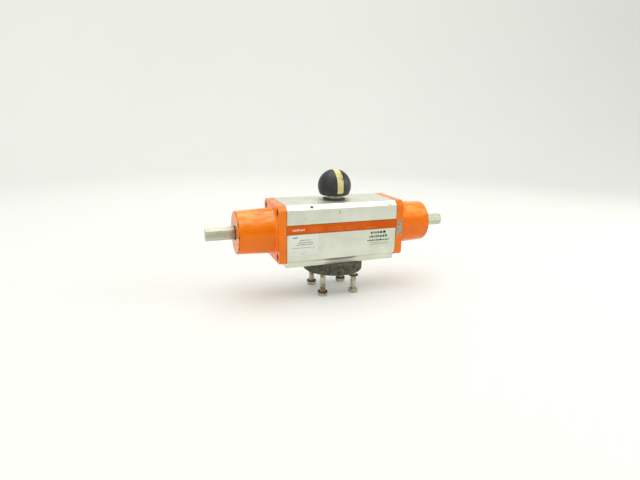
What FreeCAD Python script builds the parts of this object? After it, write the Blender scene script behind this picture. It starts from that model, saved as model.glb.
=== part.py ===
"""Double-piston, rack-and-pinion, spring-return rotary actuator, with its flange ring and bolts.

Frame: +X along the cylinder, -Y is the labelled front, +Z up the pinion axis. The origin is on the
pinion axis at the plane that the four flange bolts stand on. Millimetres.
"""

import FreeCAD, Part
import math
import os
import Sketcher
from FreeCAD import Placement, Rotation, Vector

DIMENSIONS = {
    # levels, up from the plane that the bolt heads stand on
    "axis_height": 99.0,
    "top_rise": 41.0,
    "base_drop": 48.0,
    # extruded body
    "body_half": 84.0,
    "half_width": 40.0,
    "bevel_wide": 7.0,
    "bevel_tall": 6.0,
    "bore_radius": 33.0,
    "lip_half_width": 34.0,
    "cove_radius": 6.0,
    "band_low": 0.9,
    "band_height": 13.7,
    "band_depth": 1.0,
    "band_sunk": 0.2,
    "label_thickness": 0.25,
    "edge_break": 0.5,
    # standard interfaces: accessory holes on top, valve flange below
    "accessory_span": 80.0,
    "accessory_pitch": 30.0,
    "accessory_hole": 2.1,
    "accessory_depth": 8.0,
    "valve_hole_depth": 7.0,
    "flange_circle": 35.0,
    "flange_bolt": 4.0,
    "flange_thread_depth": 16.0,
    "ring_radius": 45.0,
    "ring_bore": 27.5,
    "ring_thickness": 16.0,
    "ring_screw_span": 36.0,
    "ring_screw_pitch": 12.0,
    "ring_screw": 2.5,
    "ring_screw_depth": 10.0,
    "ring_screw_length": 19.0,
    "ring_head_radius": 4.25,
    "ring_head_height": 5.0,
    "ring_counterbore": 6.0,
    "ring_edge": 1.0,
    "square_drive": 17.2,
    "square_depth": 20.0,
    # bolts and spring washers
    "bolt_head_height": 5.3,
    "bolt_length": 60.0,
    "bolt_flats": 13.0,
    "bolt_clearance": 0.4,
    "split_washer_inner": 4.15,
    "split_washer_outer": 7.4,
    "split_washer_height": 2.2,
    "split_washer_slit": 0.8,
    "hanging_washer_drop": 8.8,
    # air ports on the back
    "port_span": 12.0,
    "port_drop": 14.0,
    "port_radius": 5.8,
    "port_depth": 6.0,
    "port_passage": 2.5,
    "passage_depth": 16.0,
    "valve_hole_span": 16.0,
    "valve_hole_pitch": 12.0,
    # plugged air passage on the front bevel
    "plug_x": -47.6,
    "plug_radius": 2.5,
    "plug_hole_depth": 3.0,
    "plug_length": 2.4,
    "plug_sunk": 0.5,
    "plug_key": 2.5,
    "plug_socket_depth": 1.3,
    # end caps
    "flange_thickness": 11.5,
    "flange_drop": 40.0,
    "barrel_base": 32.8,
    "barrel_end": 30.5,
    "barrel_length": 52.9,
    "barrel_wall": 4.0,
    "cap_end_wall": 8.0,
    "cap_screw_offset": 31.4,
    "cap_screw": 3.0,
    "cap_head_radius": 5.0,
    "cap_head_height": 6.0,
    "spigot_length": 3.0,
    "cap_screw_length": 20.0,
    "cap_screw_sunk": 0.3,
    "cap_screw_key": 5.0,
    "cap_thread_depth": 20.0,
    "hole_clearance": 0.3,
    "head_clearance": 0.5,
    "seal_land": 2.4,
    "seal_groove_width": 2.6,
    "seal_groove_depth": 1.9,
    "cap_seal_wire": 0.92,
    "flange_corner": 3.0,
    "flange_edge": 0.8,
    "barrel_fillet": 2.5,
    "barrel_rim": 1.6,
    # travel stops
    "hex_flats": 16.0,
    "hex_length_left": 39.6,
    "hex_length_right": 36.9,
    "hex_lean_left": 8.0,
    "hex_lean_right": 30.0,
    "stop_thread": 6.0,
    "washer_thickness": 1.0,
    "washer_radius": 10.2,
    "hex_bevel": 0.8,
    "hex_bevel_depth": 0.9,
    "stop_clearance": 0.4,
    # rack and pinion
    "gear_module": 2.0,
    "gear_teeth": 16.0,
    "gear_width": 32.0,
    "tooth_clearance": 0.12,
    "lower_journal": 18.5,
    "upper_journal": 12.0,
    "running_fit": 0.05,
    "bush_wall": 2.0,
    "lower_bush_height": 8.0,
    "upper_bush_height": 4.0,
    "lower_groove_drop": 37.8,
    "lower_groove_height": 2.6,
    "lower_groove_depth": 2.0,
    "upper_groove_rise": 34.2,
    "upper_groove_height": 2.0,
    "upper_groove_depth": 1.6,
    "circlip_groove_rise": 1.6,
    "circlip_groove_height": 1.1,
    "circlip_groove_depth": 0.8,
    "circlip_thickness": 1.0,
    "shaft_collar": 13.5,
    "neck_radius": 9.0,
    "stub_width": 12.0,
    "stub_height": 9.0,
    # pistons
    "piston_inner": 41.0,
    "piston_thickness": 14.0,
    "piston_radius": 32.6,
    "rack_reach": 81.0,
    "rack_back": 28.0,
    "rack_half_height": 13.5,
    "spring_seat_radius": 26.0,
    "spring_seat_depth": 6.0,
    "spring_pilot_radius": 10.0,
    "seal_offset": 4.0,
    "seal_width": 3.2,
    "seal_depth": 2.6,
    "guide_offset": 9.0,
    "guide_width": 3.5,
    "guide_depth": 1.5,
    "pad_length": 50.0,
    "pad_start": -30.0,
    "pad_width": 12.0,
    "pad_depth": 1.2,
    # springs
    "outer_spring_radius": 21.5,
    "outer_spring_wire": 2.0,
    "outer_spring_pitch": 12.0,
    "inner_spring_radius": 14.5,
    "inner_spring_wire": 1.25,
    "inner_spring_pitch": 9.0,
    # indicator
    "dome_radius": 24.5,
    "dome_rise": 60.8,
    "dome_gap": 6.8,
    "stripe_width": 10.3,
    "stripe_depth": 0.8,
    "stripe_drop": 9.0,
    "washer_collar": 16.5,
    "collar_thickness": 1.45,
}

doc = FreeCAD.newDocument("actuator")
sheet = doc.addObject("Spreadsheet::Sheet", "Sizes")
for row, (alias, number) in enumerate(DIMENSIONS.items(), start=1):
    sheet.set(f"A{row}", alias)
    sheet.set(f"B{row}", str(number))
    sheet.setAlias(f"B{row}", alias)
doc.recompute()


class Size:
    """A length that knows both its number and the sheet expression it comes from."""

    def __init__(self, value, text):
        self.value = value
        self.text = text

    def __add__(self, other):
        other = size(other)
        return Size(self.value + other.value, f"({self.text} + {other.text})")

    def __sub__(self, other):
        other = size(other)
        return Size(self.value - other.value, f"({self.text} - {other.text})")

    def __mul__(self, other):
        other = size(other)
        return Size(self.value * other.value, f"({self.text} * {other.text})")

    def __truediv__(self, other):
        other = size(other)
        return Size(self.value / other.value, f"({self.text} / {other.text})")

    def __neg__(self):
        return Size(-self.value, f"(0 - {self.text})")

    def __radd__(self, other):
        return size(other) + self

    def __rsub__(self, other):
        return size(other) - self

    __rmul__ = __mul__


def size(amount):
    """A plain number as a Size; a Size is left as it is."""
    return amount if isinstance(amount, Size) else Size(float(amount), f"{float(amount)!r}")


def cell(alias):
    return Size(float(sheet.get(alias)), f"Sizes.{alias}")


S = {alias: cell(alias) for alias in DIMENSIONS}
finished = []

X_AXIS = Vector(1, 0, 0)
Y_AXIS = Vector(0, 1, 0)
Z_AXIS = Vector(0, 0, 1)
LIE_ALONG_X = Rotation(Y_AXIS, 90)
NO_TURN = Rotation()
THROUGH = 400.0
SOCKET_SHARE = 0.55
PRESSURE_ANGLE = math.radians(20)

AXIS = S["axis_height"]
FLANGE_FACE = S["body_half"] + S["flange_thickness"]
BARREL_FACE = FLANGE_FACE + S["barrel_length"]
PITCH_RADIUS = S["gear_module"] * S["gear_teeth"] / 2


def bind(thing, **sizes):
    """Sets properties of a document object and ties each to the sheet."""
    for name, amount in sizes.items():
        amount = size(amount)
        setattr(thing, name, amount.value)
        thing.setExpression(name, amount.text)


def place(thing, x=0.0, y=0.0, z=0.0, turn=NO_TURN):
    """Puts a thing at x, y, z, each tied to the sheet."""
    x, y, z = size(x), size(y), size(z)
    thing.Placement = Placement(Vector(x.value, y.value, z.value), turn)
    for axis, amount in (("x", x), ("y", y), ("z", z)):
        thing.setExpression(f"Placement.Base.{axis}", amount.text)
    return thing


def outwards(way):
    """Turns +Z to point out of the end cap on that side."""
    return Rotation(Y_AXIS, 90 * way)


def finish(thing, node):
    """Marks a thing as one sub-part, named after its node."""
    thing.Label = node
    finished.append(thing)
    return thing


def box(x, y, z, wide, deep, tall):
    """A block from its lowest corner."""
    thing = doc.addObject("Part::Box", "block")
    bind(thing, Length=wide, Width=deep, Height=tall)
    return place(thing, x, y, z)


def rod(radius, length, x=0.0, y=0.0, z=0.0, turn=NO_TURN):
    """A cylinder that starts at x, y, z and runs along +Z, or along the turned Z."""
    thing = doc.addObject("Part::Cylinder", "rod")
    bind(thing, Radius=radius, Height=length)
    return place(thing, x, y, z, turn)


def cone(low_radius, high_radius, length, x=0.0, y=0.0, z=0.0, turn=NO_TURN):
    thing = doc.addObject("Part::Cone", "cone")
    bind(thing, Radius1=low_radius, Radius2=high_radius, Height=length)
    return place(thing, x, y, z, turn)


def hex_bar(across_flats, length, x=0.0, y=0.0, z=0.0, turn=NO_TURN):
    """A six-sided prism by its width across the flats."""
    thing = doc.addObject("Part::Prism", "hex_bar")
    thing.Polygon = 6
    bind(thing, Circumradius=size(across_flats) / math.sqrt(3), Height=length)
    return place(thing, x, y, z, turn)


def ring_seal(radius, wire, x=0.0, y=0.0, z=0.0, turn=NO_TURN):
    thing = doc.addObject("Part::Torus", "ring_seal")
    bind(thing, Radius1=radius, Radius2=wire)
    return place(thing, x, y, z, turn)


def fuse(*things):
    joined = doc.addObject("Part::MultiFuse", "joined")
    joined.Shapes = list(things)
    joined.Refine = True
    return joined


def cut(base, *tools):
    result = base
    for tool in tools:
        step = doc.addObject("Part::Cut", "cut")
        step.Base, step.Tool = result, tool
        result = step
    return result


def common(first, second):
    result = doc.addObject("Part::Common", "shared")
    result.Base, result.Tool = first, second
    return result


def together(things):
    """Separate solids that share one node."""
    compound = doc.addObject("Part::Compound", "together")
    compound.Links = things
    return compound


def four_corners(half_x, half_y):
    return [(sx * half_x, sy * half_y) for sx in (1, -1) for sy in (1, -1)]


# ---- PartDesign helpers ----


def new_body(node):
    return finish(doc.addObject("PartDesign::Body", "Body"), node)


def new_sketch(body, plane, offset=0.0):
    """A sketch on one of the body's own origin planes, lifted along the plane's normal."""
    sketch = body.newObject("Sketcher::SketchObject", "Sketch")
    support = next(f for f in body.Origin.OriginFeatures if f.Role == plane)
    sketch.AttachmentSupport = [(support, "")]
    sketch.MapMode = "FlatFace"
    offset = size(offset)
    sketch.AttachmentOffset = Placement(Vector(0, 0, offset.value), Rotation())
    sketch.setExpression("AttachmentOffset.Base.z", offset.text)
    return sketch


def place_sketch(sketch, x, y, z, turn):
    """Moves and turns a sketch within its plane's frame."""
    x, y, z = size(x), size(y), size(z)
    sketch.AttachmentOffset = Placement(Vector(x.value, y.value, z.value), turn)
    for axis, amount in (("x", x), ("y", y), ("z", z)):
        sketch.setExpression(f"AttachmentOffset.Base.{axis}", amount.text)


def tie(sketch, kind, amount, *where):
    """A dimension of a sketch, tied to the sheet."""
    amount = size(amount)
    index = sketch.addConstraint(Sketcher.Constraint(kind, *where, amount.value))
    sketch.setExpression(f"Constraints[{index}]", amount.text)


def outline(sketch, corners):
    """A closed outline of straight lines through the corners, each corner placed by two dimensions."""
    corners = [(size(u), size(v)) for u, v in corners]
    count = len(corners)
    first = sketch.GeometryCount
    for i, (u, v) in enumerate(corners):
        next_u, next_v = corners[(i + 1) % count]
        line = Part.LineSegment(Vector(u.value, v.value, 0), Vector(next_u.value, next_v.value, 0))
        sketch.addGeometry(line, False)
    for i in range(count):
        line, following = first + i, first + (i + 1) % count
        sketch.addConstraint(Sketcher.Constraint("Coincident", line, 2, following, 1))
    for i, (u, v) in enumerate(corners):
        tie(sketch, "DistanceX", u, -1, 1, first + i, 1)
        tie(sketch, "DistanceY", v, -1, 1, first + i, 1)


def circle(sketch, radius, u=0.0, v=0.0):
    radius, u, v = size(radius), size(u), size(v)
    index = sketch.GeometryCount
    sketch.addGeometry(Part.Circle(Vector(u.value, v.value, 0), Z_AXIS, radius.value), False)
    tie(sketch, "Radius", radius, index)
    tie(sketch, "DistanceX", u, -1, 1, index, 3)
    tie(sketch, "DistanceY", v, -1, 1, index, 3)


def pad(body, sketch, length, both_ways=False, reverse=False):
    feature = body.newObject("PartDesign::Pad", "Pad")
    feature.Profile = sketch
    bind(feature, Length=length)
    feature.Midplane = both_ways
    feature.Reversed = reverse
    doc.recompute()
    return feature


def pocket(body, sketch, length, both_ways=False, reverse=False):
    """A cut whose depth runs against the sketch's normal, or along it when reversed."""
    before = body.Shape.Volume
    feature = body.newObject("PartDesign::Pocket", "Pocket")
    feature.Profile = sketch
    bind(feature, Length=length)
    feature.Midplane = both_ways
    feature.Reversed = reverse
    doc.recompute()
    if body.Shape.Volume > before - 1e-6:
        raise RuntimeError(f"{body.Label}: {feature.Name} cuts nothing")
    return feature


def soften(body, radius, picks, kind="PartDesign::Fillet", amount="Radius"):
    """Rounds or chamfers the edges of the body's last feature that the test picks."""
    doc.recompute()
    base = body.Tip
    edges = [f"Edge{i}" for i, edge in enumerate(base.Shape.Edges, start=1) if picks(edge)]
    if not edges:
        raise RuntimeError(f"{body.Label}: no edge to soften")
    feature = body.newObject(kind, "Softened")
    feature.Base = (base, edges)
    bind(feature, **{amount: radius})
    doc.recompute()
    return feature


def is_circle(edge, radius, x):
    """True for a whole circle or arc of this radius, about a line along X, in the plane at x."""
    curve = edge.Curve
    return (
        curve.TypeId == "Part::GeomCircle"
        and abs(curve.Radius - size(radius).value) < 0.01
        and abs(curve.Center.x - size(x).value) < 0.01
        and abs(abs(curve.Axis.x) - 1) < 1e-6
    )


def runs_along_x(edge, y, z):
    """True for a straight edge along X at |y| and z, measured from the cylinder's axis."""
    middle = edge.valueAt((edge.FirstParameter + edge.LastParameter) / 2)
    straight = edge.Curve.TypeId == "Part::GeomLine" and abs(edge.Curve.Direction.x) > 0.999
    return straight and abs(abs(middle.y) - size(y).value) < 0.01 and abs(middle.z - size(z).value) < 0.01


# ---- housing ----


def extruded_body():
    """The aluminium extrusion: bore, side bands, bevels, coves and every hole in it."""
    body = new_body("body")
    profile = new_sketch(body, "YZ_Plane")
    half, top, low = S["half_width"], S["top_rise"], -S["base_drop"]
    cove_level = low + S["cove_radius"] * 0.75
    band_top = S["band_low"] + S["band_height"]
    groove = half - S["band_depth"]
    side = [
        (half - S["bevel_wide"], top),
        (half, top - S["bevel_tall"]),
        (half, band_top),
        (groove, band_top),
        (groove, S["band_low"]),
        (half, S["band_low"]),
        (half, cove_level),
        (S["lip_half_width"], cove_level),
        (S["lip_half_width"], low),
    ]
    mirrored = [(-y, z) for y, z in reversed(side)]
    outline(profile, side + mirrored)
    circle(profile, S["bore_radius"])
    pad(body, profile, S["body_half"] * 2, both_ways=True)

    coves = new_sketch(body, "YZ_Plane")
    for way in (1, -1):
        circle(coves, S["cove_radius"], half * way, cove_level)
    pocket(body, coves, THROUGH, both_ways=True)

    bottom_bore = new_sketch(body, "XY_Plane")
    circle(bottom_bore, S["lower_journal"] + S["running_fit"])
    pocket(body, bottom_bore, S["base_drop"] + 1)
    bush_seat = new_sketch(body, "XY_Plane", low)
    circle(bush_seat, S["lower_journal"] + S["bush_wall"])
    pocket(body, bush_seat, S["lower_bush_height"], reverse=True)
    top_bore = new_sketch(body, "XY_Plane")
    circle(top_bore, S["upper_journal"] + S["running_fit"])
    pocket(body, top_bore, top + 1, reverse=True)
    top_bush_seat = new_sketch(body, "XY_Plane", top)
    circle(top_bush_seat, S["upper_journal"] + S["bush_wall"])
    pocket(body, top_bush_seat, S["upper_bush_height"])

    accessory = new_sketch(body, "XY_Plane", top)
    for x, y in four_corners(S["accessory_span"] / 2, S["accessory_pitch"] / 2):
        circle(accessory, S["accessory_hole"], x, y)
    pocket(body, accessory, S["accessory_depth"])

    flange = new_sketch(body, "XY_Plane", low)
    at = S["flange_circle"] * math.sqrt(0.5)
    for x, y in four_corners(at, at):
        circle(flange, S["flange_bolt"] + S["running_fit"], x, y)
    pocket(body, flange, S["flange_thread_depth"], reverse=True)
    ring_holes = new_sketch(body, "XY_Plane", low)
    for x, y in four_corners(S["ring_screw_span"], S["ring_screw_pitch"]):
        circle(ring_holes, S["ring_screw"] + S["running_fit"], x, y)
    pocket(body, ring_holes, S["ring_screw_depth"], reverse=True)

    offset = S["cap_screw_offset"]
    for way in (1, -1):
        ends = new_sketch(body, "YZ_Plane", S["body_half"] * way)
        for y, z in four_corners(offset, offset):
            circle(ends, S["cap_screw"] + S["running_fit"], y, z)
        pocket(body, ends, S["cap_thread_depth"], reverse=way < 0)

    # on the XZ plane the sketch's normal is -Y, so the back face is at a negative offset
    ports = new_sketch(body, "XZ_Plane", -half)
    passages = new_sketch(body, "XZ_Plane", -half)
    for way in (1, -1):
        circle(ports, S["port_radius"], S["port_span"] * way, -S["port_drop"])
        circle(passages, S["port_passage"], S["port_span"] * way, -S["port_drop"])
    pocket(body, ports, S["port_depth"], reverse=True)
    pocket(body, passages, S["passage_depth"], reverse=True)
    valve_holes = new_sketch(body, "XZ_Plane", -half)
    for x, z in four_corners(S["valve_hole_span"], S["valve_hole_pitch"]):
        circle(valve_holes, S["accessory_hole"], x, z - S["port_drop"])
    pocket(body, valve_holes, S["valve_hole_depth"], reverse=True)

    drill_plug_hole(body)
    soften(
        body,
        S["edge_break"],
        lambda e: runs_along_x(e, half, cove_level + S["cove_radius"])
        or runs_along_x(e, half, top - S["bevel_tall"])
        or runs_along_x(e, half - S["bevel_wide"], top)
        or runs_along_x(e, S["lip_half_width"], low),
    )
    return place(body, z=AXIS)


def plug_place():
    """Centre of the bevel's drilled hole, from the cylinder's axis, and the tilt of its face."""
    y = -S["half_width"] + S["bevel_wide"] / 2
    z = S["top_rise"] - S["bevel_tall"] / 2
    tilt = math.degrees(math.atan2(S["bevel_tall"].value, S["bevel_wide"].value))
    return S["plug_x"], y, z, Rotation(X_AXIS, tilt)


def drill_plug_hole(body):
    """The mouth of a cross-drilled air passage, square to the bevel."""
    x, y, z, tilt = plug_place()
    mouth = new_sketch(body, "XY_Plane")
    place_sketch(mouth, x, y, z, tilt)
    circle(mouth, S["plug_radius"] + S["running_fit"])
    pocket(body, mouth, S["plug_hole_depth"])


def passage_plug():
    """Grub screw that closes the cross-drilled passage, sunk just below the bevel."""
    x, y, z, tilt = plug_place()
    out = tilt.multVec(Z_AXIS)
    deep = S["plug_sunk"] + S["plug_length"]
    plug = rod(S["plug_radius"], S["plug_length"], x, y - deep * out.y, AXIS + z - deep * out.z, tilt)
    floor = S["plug_sunk"] + S["plug_socket_depth"]
    socket = hex_bar(S["plug_key"], floor, x, y - floor * out.y, AXIS + z - floor * out.z, tilt)
    return finish(cut(plug, socket), "passage_plug")


def side_band(node, way):
    """The coloured strip in the groove along one side."""
    near_side = -S["half_width"] + S["band_sunk"] if way < 0 else S["half_width"] - S["band_depth"]
    depth = S["band_depth"] - S["band_sunk"]
    strip = box(-S["body_half"], near_side, AXIS + S["band_low"], S["body_half"] * 2, depth, S["band_height"])
    return finish(strip, node)


def label_plate(node, x, low, wide, tall):
    """A thin film stuck on the front face."""
    thick = S["label_thickness"]
    return finish(box(x, -S["half_width"] - thick, AXIS + low, wide, thick, tall), node)


def end_cap(node, turn):
    """Square flange, tapered barrel and register, hollow for the springs; modelled on the +X side."""
    body = new_body(node)
    half, top = S["half_width"], S["top_rise"]
    plate = new_sketch(body, "YZ_Plane", S["body_half"])
    side = [
        (half - S["bevel_wide"], top),
        (half, top - S["bevel_tall"]),
        (half, -S["flange_drop"]),
    ]
    outline(plate, side + [(-y, z) for y, z in reversed(side)])
    pad(body, plate, S["flange_thickness"])

    barrel = new_sketch(body, "XZ_Plane")
    outline(
        barrel,
        [
            (FLANGE_FACE - 1, 0),
            (FLANGE_FACE - 1, S["barrel_base"]),
            (BARREL_FACE, S["barrel_end"]),
            (BARREL_FACE, 0),
        ],
    )
    revolve(body, barrel)
    register = new_sketch(body, "YZ_Plane", S["body_half"] - S["spigot_length"])
    circle(register, S["bore_radius"] - S["running_fit"])
    pad(body, register, S["spigot_length"])

    chamber = new_sketch(body, "YZ_Plane", S["body_half"] - S["spigot_length"])
    room = BARREL_FACE - S["cap_end_wall"] - S["body_half"] + S["spigot_length"]
    circle(chamber, S["barrel_end"] - S["barrel_wall"])
    pocket(body, chamber, room, reverse=True)
    stop_hole = new_sketch(body, "YZ_Plane", BARREL_FACE)
    circle(stop_hole, S["stop_thread"] + S["running_fit"])
    pocket(body, stop_hole, S["cap_end_wall"] + 1)

    offset = S["cap_screw_offset"]
    screws = new_sketch(body, "YZ_Plane", FLANGE_FACE)
    heads = new_sketch(body, "YZ_Plane", FLANGE_FACE)
    for y, z in four_corners(offset, offset):
        circle(screws, S["cap_screw"] + S["hole_clearance"], y, z)
        circle(heads, S["cap_head_radius"] + S["head_clearance"], y, z)
    pocket(body, screws, S["flange_thickness"] + 1)
    pocket(body, heads, S["cap_head_height"] + S["cap_screw_sunk"])
    seal_groove = new_sketch(body, "YZ_Plane", S["body_half"])
    circle(seal_groove, S["bore_radius"] + S["seal_land"] + S["seal_groove_width"])
    circle(seal_groove, S["bore_radius"] + S["seal_land"])
    pocket(body, seal_groove, S["seal_groove_depth"], reverse=True)

    soften(body, S["flange_corner"], lambda e: runs_along_x(e, half, -S["flange_drop"]))
    soften(body, S["flange_edge"], on_flange_face)
    seam_radius = S["barrel_base"] - (S["barrel_base"] - S["barrel_end"]) / (S["barrel_length"] + 1)
    soften(body, S["barrel_fillet"], lambda e: is_circle(e, seam_radius, FLANGE_FACE))
    soften(body, S["barrel_rim"], lambda e: is_circle(e, S["barrel_end"], BARREL_FACE))
    return place(body, z=AXIS, turn=turn)


def on_flange_face(edge):
    """True for the outline of the flange's outer face, but not its holes or the barrel."""
    extent = edge.BoundBox
    in_face = abs(extent.XMin - FLANGE_FACE.value) < 0.01 and abs(extent.XMax - FLANGE_FACE.value) < 0.01
    whole_circle = edge.Curve.TypeId == "Part::GeomCircle" and edge.isClosed()
    return in_face and not whole_circle


def revolve(body, sketch):
    """Turns a profile about the cylinder's axis."""
    feature = body.newObject("PartDesign::Revolution", "Revolution")
    feature.Profile = sketch
    feature.ReferenceAxis = (sketch, ["H_Axis"])
    feature.Angle = 360
    doc.recompute()
    return feature


def cap_seal(node, way):
    """Face seal between cap and body, lying in the cap's groove."""
    centre = S["bore_radius"] + S["seal_land"] + S["seal_groove_width"] / 2
    x = (S["body_half"] + S["seal_groove_depth"] / 2) * way
    return finish(ring_seal(centre, S["cap_seal_wire"], x, 0, AXIS, LIE_ALONG_X), node)


def socket_screw(x, y, z, radius, head_radius, head_height, length, turn, key):
    """Socket head cap screw: head's top at x, y, z and its shank along the turned -Z."""
    direction = turn.multVec(Z_AXIS)

    def down(distance):
        distance = size(distance)
        return [
            size(base) - distance * part
            for base, part in zip((x, y, z), (direction.x, direction.y, direction.z))
        ]

    head = rod(head_radius, head_height, *down(head_height), turn)
    shank = rod(radius, length, *down(head_height + length), turn)
    socket_depth = head_height * SOCKET_SHARE
    recess = hex_bar(key, socket_depth, *down(socket_depth), turn)
    return cut(fuse(head, shank), recess)


def cap_screws(node, way):
    """Four M6 socket head screws that hold one cap."""
    turn = outwards(way)
    offset = S["cap_screw_offset"]
    face = (FLANGE_FACE - S["cap_screw_sunk"]) * way
    sizes = (S["cap_screw"], S["cap_head_radius"], S["cap_head_height"], S["cap_screw_length"])
    screws = [
        socket_screw(face, y, AXIS + z, *sizes, turn, S["cap_screw_key"])
        for y, z in four_corners(offset, offset)
    ]
    return finish(together(screws), node)


def bush(node, journal, low, tall):
    """Plain bearing round a journal, pressed into the body."""
    inner = journal + S["running_fit"]
    outer = journal + S["bush_wall"] - 0.02
    return finish(cut(rod(outer, tall, z=low), rod(inner, tall, z=low)), node)


def flange_ring():
    """Steel ring between the body and the valve's flange."""
    body = new_body("flange_ring")
    plan = new_sketch(body, "XY_Plane")
    circle(plan, S["ring_radius"])
    circle(plan, S["ring_bore"])
    pad(body, plan, S["ring_thickness"], reverse=True)
    bolts = new_sketch(body, "XY_Plane")
    at = S["flange_circle"] * math.sqrt(0.5)
    for x, y in four_corners(at, at):
        circle(bolts, S["flange_bolt"] + S["bolt_clearance"], x, y)
    pocket(body, bolts, S["ring_thickness"] + 1)
    screws = new_sketch(body, "XY_Plane")
    for x, y in four_corners(S["ring_screw_span"], S["ring_screw_pitch"]):
        circle(screws, S["ring_screw"] + S["hole_clearance"], x, y)
    pocket(body, screws, S["ring_thickness"] + 1)
    heads = new_sketch(body, "XY_Plane", -S["ring_thickness"])
    for x, y in four_corners(S["ring_screw_span"], S["ring_screw_pitch"]):
        circle(heads, S["ring_head_radius"] + S["head_clearance"], x, y)
    pocket(body, heads, S["ring_counterbore"], reverse=True)

    def is_rim(edge):
        round_edge = edge.Curve.TypeId == "Part::GeomCircle"
        return round_edge and abs(edge.Curve.Radius - S["ring_radius"].value) < 0.01

    soften(body, S["ring_edge"], is_rim)
    return place(body, z=AXIS - S["base_drop"])


def ring_screws():
    """Four M5 cap screws, counterbored into the ring from below, that hold it to the body."""
    turn = Rotation(X_AXIS, 180)
    low = AXIS - S["base_drop"] - S["ring_thickness"] + S["ring_counterbore"] - S["ring_head_height"]
    sizes = (S["ring_screw"], S["ring_head_radius"], S["ring_head_height"], S["ring_screw_length"])
    screws = [
        socket_screw(x, y, low, *sizes, turn, 4)
        for x, y in four_corners(S["ring_screw_span"], S["ring_screw_pitch"])
    ]
    return finish(together(screws), "ring_screws")


def flange_bolts():
    """Four M8 x 60 hexagon bolts, screwed up into the body, hanging below the ring."""
    at = S["flange_circle"] * math.sqrt(0.5)
    tall, flats = S["bolt_head_height"], S["bolt_flats"]
    face = flats / 2 - 0.1
    bolts = []
    for x, y in four_corners(at, at):
        flat_inwards = Rotation(Z_AXIS, -15 if x.value * y.value > 0 else 15)
        bevel = cone(face, face + tall * math.tan(math.radians(60)), tall, x, y)
        head = common(hex_bar(flats, tall, x, y, turn=flat_inwards), bevel)
        bolts.append(fuse(head, rod(S["flange_bolt"], S["bolt_length"], x, y, tall)))
    return finish(together(bolts), "flange_bolts")


def split_washers():
    """Spring washers on the bolts: three lie on the heads and one hangs below the ring."""
    at = S["flange_circle"] * math.sqrt(0.5)
    inner, outer = S["split_washer_inner"], S["split_washer_outer"]
    thick, slit = S["split_washer_height"], S["split_washer_slit"]
    hanging = AXIS - S["base_drop"] - S["ring_thickness"] - S["hanging_washer_drop"]
    washers = []
    for x, y in four_corners(at, at):
        front_right = x.value > 0 > y.value
        z = hanging if front_right else S["bolt_head_height"]
        flat = cut(rod(outer, thick, x, y, z), rod(inner, thick, x, y, z))
        washers.append(cut(flat, box(x + inner - 1, y - slit / 2, z, outer, slit, thick)))
    return finish(together(washers), "split_washers")


# ---- pinion and indicator ----


def involute_outline(module, teeth, clearance):
    """The pinion's outline: involute flanks, radial below the base circle."""
    pitch = module * teeth / 2
    base = pitch * math.cos(PRESSURE_ANGLE)
    tip, root = pitch + module * 0.95, pitch - module * 1.2
    roll_at_pitch = math.sqrt((pitch / base) ** 2 - 1)
    half_tooth = math.pi / 2 / teeth - clearance / pitch
    base_half = half_tooth + roll_at_pitch - math.atan(roll_at_pitch)
    last_roll = math.sqrt((tip / base) ** 2 - 1)

    def polar(radius, angle):
        return Vector(radius * math.cos(angle), radius * math.sin(angle), 0)

    def flank(middle, way):
        points = []
        for step in range(7):
            roll = last_roll * step / 6
            radius = base * math.sqrt(1 + roll * roll)
            points.append(polar(radius, middle + way * (base_half - roll + math.atan(roll))))
        return points

    edges = []
    for tooth in range(int(teeth)):
        middle = 2 * math.pi * tooth / teeth
        rising, falling = flank(middle, -1), flank(middle, 1)
        falling.reverse()
        before = polar(root, middle - base_half)
        after = polar(root, middle + base_half)
        following = polar(root, middle + 2 * math.pi / teeth - base_half)
        edges.append(Part.LineSegment(before, rising[0]).toShape())
        edges.append(curve_through(rising))
        edges.append(Part.Arc(rising[-1], polar(tip, middle), falling[0]).toShape())
        edges.append(curve_through(falling))
        edges.append(Part.LineSegment(falling[-1], after).toShape())
        valley = polar(root, middle + math.pi / teeth)
        edges.append(Part.Arc(after, valley, following).toShape())
    return Part.Face(Part.Wire(edges))


def curve_through(points):
    spline = Part.BSplineCurve()
    spline.interpolate(points)
    return spline.toShape()


def pinion_shaft():
    """Output shaft: pinion, two journals, square socket below and square stub above."""
    teeth_part = doc.addObject("Part::Feature", "teeth")
    width = S["gear_width"].value
    face = involute_outline(S["gear_module"].value, S["gear_teeth"].value, S["tooth_clearance"].value)
    teeth_part.Shape = face.extrude(Vector(0, 0, width))
    place(teeth_part, z=AXIS - S["gear_width"] / 2)
    half = S["gear_width"] / 2
    foot = -S["base_drop"] + 0.5
    top = S["top_rise"]
    socket, stub = S["square_drive"], S["stub_width"]
    collar_low = -half - 4.5
    shaft = fuse(
        teeth_part,
        rod(S["lower_journal"], collar_low + 1 - foot, z=AXIS + foot),
        rod(S["shaft_collar"], -half - collar_low + 0.5, z=AXIS + collar_low),
        rod(S["upper_journal"], top + 3 - half, z=AXIS + half),
        rod(S["neck_radius"], S["dome_gap"] - 2, z=AXIS + top + 2),
        box(-stub / 2, -stub / 2, AXIS + top + S["dome_gap"], stub, stub, S["stub_height"]),
    )
    shaft = cut(
        shaft,
        box(-socket / 2, -socket / 2, AXIS + foot - 1, socket, socket, S["square_depth"] + 1),
        shaft_groove(S["lower_journal"], -S["lower_groove_drop"], "lower_groove"),
        shaft_groove(S["upper_journal"], S["upper_groove_rise"], "upper_groove"),
        shaft_groove(S["upper_journal"], top + S["circlip_groove_rise"], "circlip_groove"),
    )
    return finish(shaft, "pinion_shaft")


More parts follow.
